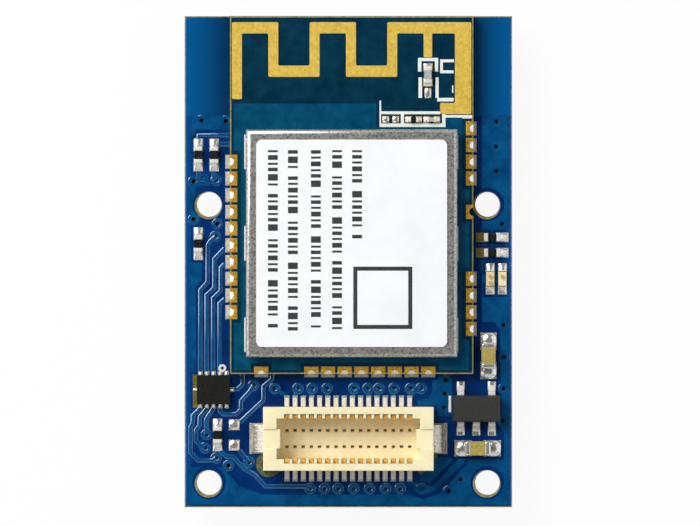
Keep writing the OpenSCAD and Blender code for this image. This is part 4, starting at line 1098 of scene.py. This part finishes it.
def crown(low, high, base, rise):
    """A dome of solder that fills a plan box but for its corners."""
    middle = [(a + b) / 2 for a, b in zip(low, high)]
    bpy.ops.mesh.primitive_uv_sphere_add(segments=32, ring_count=16, location=(middle[0], middle[1], base))
    piece = bpy.context.active_object
    piece.scale = ((high[0] - low[0]) * CROWN_REACH, (high[1] - low[1]) * CROWN_REACH, rise)
    cut(piece, block((low[0], low[1], base), (high[0], high[1], base + 1)), "INTERSECT")
    return piece


def overlap(a, b, low, high):
    """Says whether a plan box meets another."""
    return a[0] < high[0] and b[0] > low[0] and a[1] < high[1] and b[1] > low[1]


def end_fillets(node, boxes, base, rise, lip):
    """A fillet on every land of a chip, from the chip's end to the land's edge."""
    low, high = size_of(node)
    axis = long_axis(node)
    across = 1 - axis
    fillets = []
    for a, b in boxes:
        if overlap(a, b, low, high):
            ahead = a[axis] + b[axis] > low[axis] + high[axis]
            start = high[axis] - CHIP_LAP if ahead else low[axis] + CHIP_LAP
            end = b[axis] - LAND_IN if ahead else a[axis] + LAND_IN
            sides = (a[across] + LAND_IN, b[across] - LAND_IN)
            fillets.append(fillet(start, end, sides, base, rise, lip, axis))
    return fillets


# %% Fillets of the chips on the carrier
BARE_INNER = ((7.0, 5.2), (8.3, 6.9))
wet_boxes = [box for box in land_boxes if not overlap(*box, *BARE_INNER)]
fillets = []
for k in range(1, 7):
    fillets += end_fillets("resistor_%d" % k, wet_boxes, BOARD_TOP, 0.3, 0.07)
for k in (1, 2):
    low, high = size_of("capacitor_%d" % k)
    fillets += [crown(a, b, BOARD_TOP, 0.42) for a, b in wet_boxes if overlap(a, b, low, high)]
    fillets += end_fillets("lamp_%d" % k, wet_boxes, BOARD_TOP, 0.2, 0.07)
melt(fillets, "chip_joints", 0.025, 3, tin_bright, "chip_solder")

# %% Fillets and crowns on the module
module_boxes = island_boxes("module_lands")
chips = ("feed_chip", "matching_chip_1", "matching_chip_2")
fillets = []
for node in chips:
    fillets += end_fillets(node, module_boxes, MODULE_TOP, 0.22, 0.06)
for a, b in module_boxes:
    if not any(overlap(a, b, *size_of(node)) for node in chips):
        fillets.append(crown(a, b, MODULE_TOP, 0.14))
melt(fillets, "feed_joints", 0.02, 4, tin_bright, "feed_chip_solder")

# %% Fillets of the regulator and the level shifter
SHIFTER_AREA = ((-10, -4.5), (-6, -1))
body_low = size_of("regulator")[0]
lead_boxes = island_boxes("regulator_leads")
fillets = []
for a, b in land_boxes:
    if any(overlap(a, b, *box) for box in lead_boxes):
        above = a[1] > body_low.y
        heel, toe = (a[1], b[1]) if above else (b[1], a[1])
        fillets.append(fillet(heel, toe, (a[0], b[0]), BOARD_TOP, 0.17, 0.07, 1))
shifter_low, shifter_high = size_of("level_shifter")
for low, high in island_boxes("lead_solder"):
    if overlap(low, high, *SHIFTER_AREA):
        axis = 0 if low[0] < shifter_low.x or high[0] > shifter_high.x else 1
        across = 1 - axis
        ahead = low[axis] + high[axis] > shifter_low[axis] + shifter_high[axis]
        heel, toe = (low[axis], high[axis]) if ahead else (high[axis], low[axis])
        fillets.append(fillet(heel, toe, (low[across], high[across]), BOARD_TOP, 0.2, 0.08, axis))
melt(fillets, "lead_joints", 0.02, 3, tin_bright, "lead_solder")

# %% Crowns on bare lands, melted feet of the connectors
crowns = [crown(low, high, BOARD_TOP, 0.2) for low, high in island_boxes("bare_land_solder")]
melt(crowns, "bare_joints", 0.025, 3, tin_bright, "bare_land_solder")
for side in ("socket", "header"):
    node = side + "_solder"
    melt([copy_of(node, "fillets")], side + "_joints", 0.02, 3, tin_flow, node)

# %% [markdown]
# The can's foot is soldered in short runs. Only a narrow bead shows beside the wall, so each run is
# drawn in to less than half of its reach before it is melted.

# %% Beads along the can's foot
BEAD_SHARE = 0.45
can_low, can_high = size_of("shield_can")
beads = []
for low, high in island_boxes("can_solder"):
    for axis in (0, 1):
        if low[axis] < can_low[axis]:
            low[axis] = can_low[axis] + (low[axis] - can_low[axis]) * BEAD_SHARE
        if high[axis] > can_high[axis]:
            high[axis] = can_high[axis] + (high[axis] - can_high[axis]) * BEAD_SHARE
    beads.append(block(low, high))
melt(beads, "can_joints", 0.03, 5, tin_soft, "can_solder")

# %% [markdown]
# ## Joints in the plated edge
# Solder climbs into each half hole and stands there with a face that leans outwards; that face is
# what shines. Below it a sloping toe lies on the land. One joint is cut from a drum and a box with
# slanting planes, melted, and then copied to every pad.

# %% Edge joints
module_low, module_high = size_of("module_board")
PLUG_R = 0.25
LEAN, DROP = 32, 88
LAND_TOP = 0.84
TOE_RISE, TOE_HALF = 0.06, 0.39


def trim(piece, point, tilt):
    """Cuts off what lies above a plane that leans towards -Y."""
    apply_place(piece)
    slope = math.radians(tilt)
    bpy.ops.object.mode_set(mode="EDIT")
    bpy.ops.mesh.select_all(action="SELECT")
    bpy.ops.mesh.bisect(
        plane_co=point, plane_no=(0, -math.sin(slope), math.cos(slope)), use_fill=True, clear_outer=True
    )
    bpy.ops.object.mode_set(mode="OBJECT")


def joint_shape(toe):
    """One edge joint that faces -Y, with the module's edge on the X axis."""
    plug = drum(0, 0, PLUG_R, LAND_TOP - 0.03, MODULE_TOP + 0.05)
    trim(plug, (0, PLUG_R, MODULE_TOP + 0.02), LEAN)
    trim(plug, (0, -0.02, MODULE_TOP - 0.1), DROP)
    flat = block((-TOE_HALF, -toe, BOARD_TOP + 0.01), (TOE_HALF, 0.02, LAND_TOP + TOE_RISE + 0.02))
    trim(flat, (0, -toe, LAND_TOP + 0.02), math.degrees(math.atan(TOE_RISE / toe)))
    piece = joined([plug, flat], "joint")
    flow(piece, 0.025, 3)
    bpy.ops.object.shade_smooth()
    return piece


def place_joint(shape, x, y, turn):
    """A copy of a joint with its own mesh, turned to face outwards."""
    piece = on_bench("joint", shape.data.copy())
    piece.location = (x, y, 0)
    piece.rotation_euler.z = math.radians(turn)
    return piece


shapes = {}
joints = []
for low, high in island_boxes("module_solder"):
    middle_x, middle_y = (low[0] + high[0]) / 2, (low[1] + high[1]) / 2
    if low[0] < module_low.x:
        toe, spot = module_low.x - low[0], (module_low.x, middle_y, -90)
    elif high[0] > module_high.x:
        toe, spot = high[0] - module_high.x, (module_high.x, middle_y, 90)
    else:
        toe, spot = module_low.y - low[1], (middle_x, module_low.y, 0)
    toe = round(toe, 3)
    if toe not in shapes:
        shapes[toe] = joint_shape(toe)
    joints.append(place_joint(shapes[toe], *spot))
for shape in shapes.values():
    bpy.data.objects.remove(shape)
edge_joints = joined(joints, "edge_joints")
settle(edge_joints, "solder", [tin_bright, tin_toe], "module_solder")
sort_faces(edge_joints, lambda place, normal: 1 if place.z < LAND_TOP + 0.08 else 0)

# %% [markdown]
# ## Connectors
# Socket and header are cream plastic with gold contacts whose tails are tinned. The housings get a
# small roll on every edge, as a mould leaves it, and the contacts are sorted by their distance
# from the middle line. The little pockets in the socket's floor are painted brown as shade.

# %% Housings, ribs and tabs
SOCKET_Y = -5.8
# Where the floor pockets lie, whose faces take painted shade.
POCKET_LOW, POCKET_HIGH, POCKET_REACH = 1.1, 1.28, 0.8


def socket_part(place, normal):
    """Pockets in the floor are painted brown, as painted shade."""
    deep = POCKET_LOW < place.z < POCKET_HIGH
    return 1 if deep and abs(place.y - SOCKET_Y) < POCKET_REACH else 0


for side in ("socket", "header"):
    housing = skin(side + "_housing", 0.03, 2, "connector_plastic", [cream_nylon, pocket_painted_shade])
    if side == "socket":
        sort_faces(housing, socket_part)
    skin(side + "_ribs", 0.02, 1, "connector_plastic", cream_nylon)
    skin(side + "_tabs", 0.03, 2, "solder", tin_mottled)

# %% [markdown]
# A contact is one strip: gilded where it touches its mate, tinned where it is soldered. The strip is
# parted by two planes beside the housing, so that the two finishes meet in a straight line.

# %% Contacts
for node, wall in (("socket_contacts", 1.96), ("header_contacts", 2.36)):
    piece = copy_of(node, node + "_skin")
    only(piece)
    bpy.ops.object.mode_set(mode="EDIT")
    for side in (-1, 1):
        bpy.ops.mesh.select_all(action="SELECT")
        bpy.ops.mesh.bisect(plane_co=(0, SOCKET_Y + side * wall, 0), plane_no=(0, 1, 0))
    bpy.ops.object.mode_set(mode="OBJECT")
    soften(piece, 0.015, 1)
    settle(piece, "gold_plate", [gold_beam, tin_soft], node)
    sort_faces(piece, lambda place, normal: 1 if abs(place.y - SOCKET_Y) > wall else 0)

# %% [markdown]
# ## Floor, lamps and camera
# The board lies over a pale floor. A soft lamp at the upper left draws the shadows, and three weaker
# ones, low at the left, at the right and in front, light the bends that face them. The sky above is
# dark for reflections, so the lacquer stays deep. Camera rays see a nearly white floor and sky.

# %% Floor
FLOOR_GAP, FLOOR_WHITE = 0.00002, 0.92
bpy.ops.object.select_all(action="DESELECT")
bpy.ops.mesh.primitive_plane_add(size=4, location=(0, 0, solids_box[0].z - FLOOR_GAP))
floor = bpy.context.active_object
floor.name = "floor"
pale = bpy.data.materials.new("pale_floor")
pale.use_nodes = True
set_on(pale, Base_Color=(0.9, 0.9, 0.9, 1), Roughness=0.8)
tree = pale.node_tree
to_camera = shader_node(tree, "LightPath").outputs["Is Camera Ray"]
mix = shader_node(tree, "MixShader", Fac=reckon(tree, "MULTIPLY", to_camera, FLOOR_WHITE))
tree.links.new(tree.nodes["Principled BSDF"].outputs["BSDF"], mix.inputs[1])
tree.links.new(shader_node(tree, "Emission").outputs["Emission"], mix.inputs[2])
tree.links.new(mix.outputs["Shader"], tree.nodes["Material Output"].inputs["Surface"])
floor.data.materials.append(pale)
print("floor at", round(floor.location.z / MM, 2), "mm")

# %% Sky
world = bpy.data.worlds.new("studio")
bpy.context.scene.world = world
world.use_nodes = True
tree = world.node_tree
where = shader_node(tree, "TexCoord").outputs["Generated"]
height = shader_node(tree, "SeparateXYZ", Vector=where).outputs["Z"]
mirrored = graded(tree, height, (0.05, (0.8, 0.8, 0.8, 1)), (0.7, (0.03, 0.03, 0.03, 1)))
ray = shader_node(tree, "LightPath").outputs
seen = reckon(tree, "MAXIMUM", ray["Is Camera Ray"], ray["Is Transmission Ray"])
lit = blended(tree, ray["Is Glossy Ray"], (0.11, 0.11, 0.11, 1), mirrored)
feed(tree, tree.nodes["Background"], Color=blended(tree, seen, lit, (1, 1, 1, 1)))
print("sky ready")


# %% Lamps
LAMP_TARGET = (0, 0.005, 0.001)


def lamp(name, direction, distance, size, power):
    """A soft lamp, wide and tall as its size says, that looks at the middle of the board."""
    length = math.sqrt(sum(d * d for d in direction))
    offset = [d / length * distance for d in direction]
    bpy.ops.object.light_add(type="AREA", location=[m + o for m, o in zip(LAMP_TARGET, offset)])
    light = bpy.context.active_object
    light.name = name
    light.data.shape = "RECTANGLE"
    light.data.size, light.data.size_y = size
    light.data.energy = power
    light.rotation_euler = (light.location - Vector(LAMP_TARGET)).to_track_quat("Z", "Y").to_euler()


lamp("left_softbox", (-0.48, 0.48, 0.73), 0.5, (0.34, 0.28), 2.35)
lamp("left_low_softbox", (-1.0, 0.15, 0.45), 0.5, (0.8, 0.4), 1.0)
lamp("right_softbox", (1.0, 0.1, 0.75), 0.6, (0.8, 0.5), 1.0)
lamp("front_softbox", (0.1, -1.0, 0.9), 0.6, (0.7, 0.45), 0.55)

# %% Camera straight above
CAMERA_PLACE = (0.0001, 0.00492, 1.0008)
LENS, SENSOR = 841.9, 36
bpy.ops.object.camera_add(location=CAMERA_PLACE, rotation=(0, 0, 0))
camera = bpy.context.active_object
camera.data.lens = LENS
camera.data.sensor_width = SENSOR
camera.data.clip_start = 0.01
bpy.context.scene.camera = camera
bpy.context.scene.view_settings.view_transform = "Standard"
print("camera", CAMERA_PLACE[2], "m up, lens", LENS, "mm")
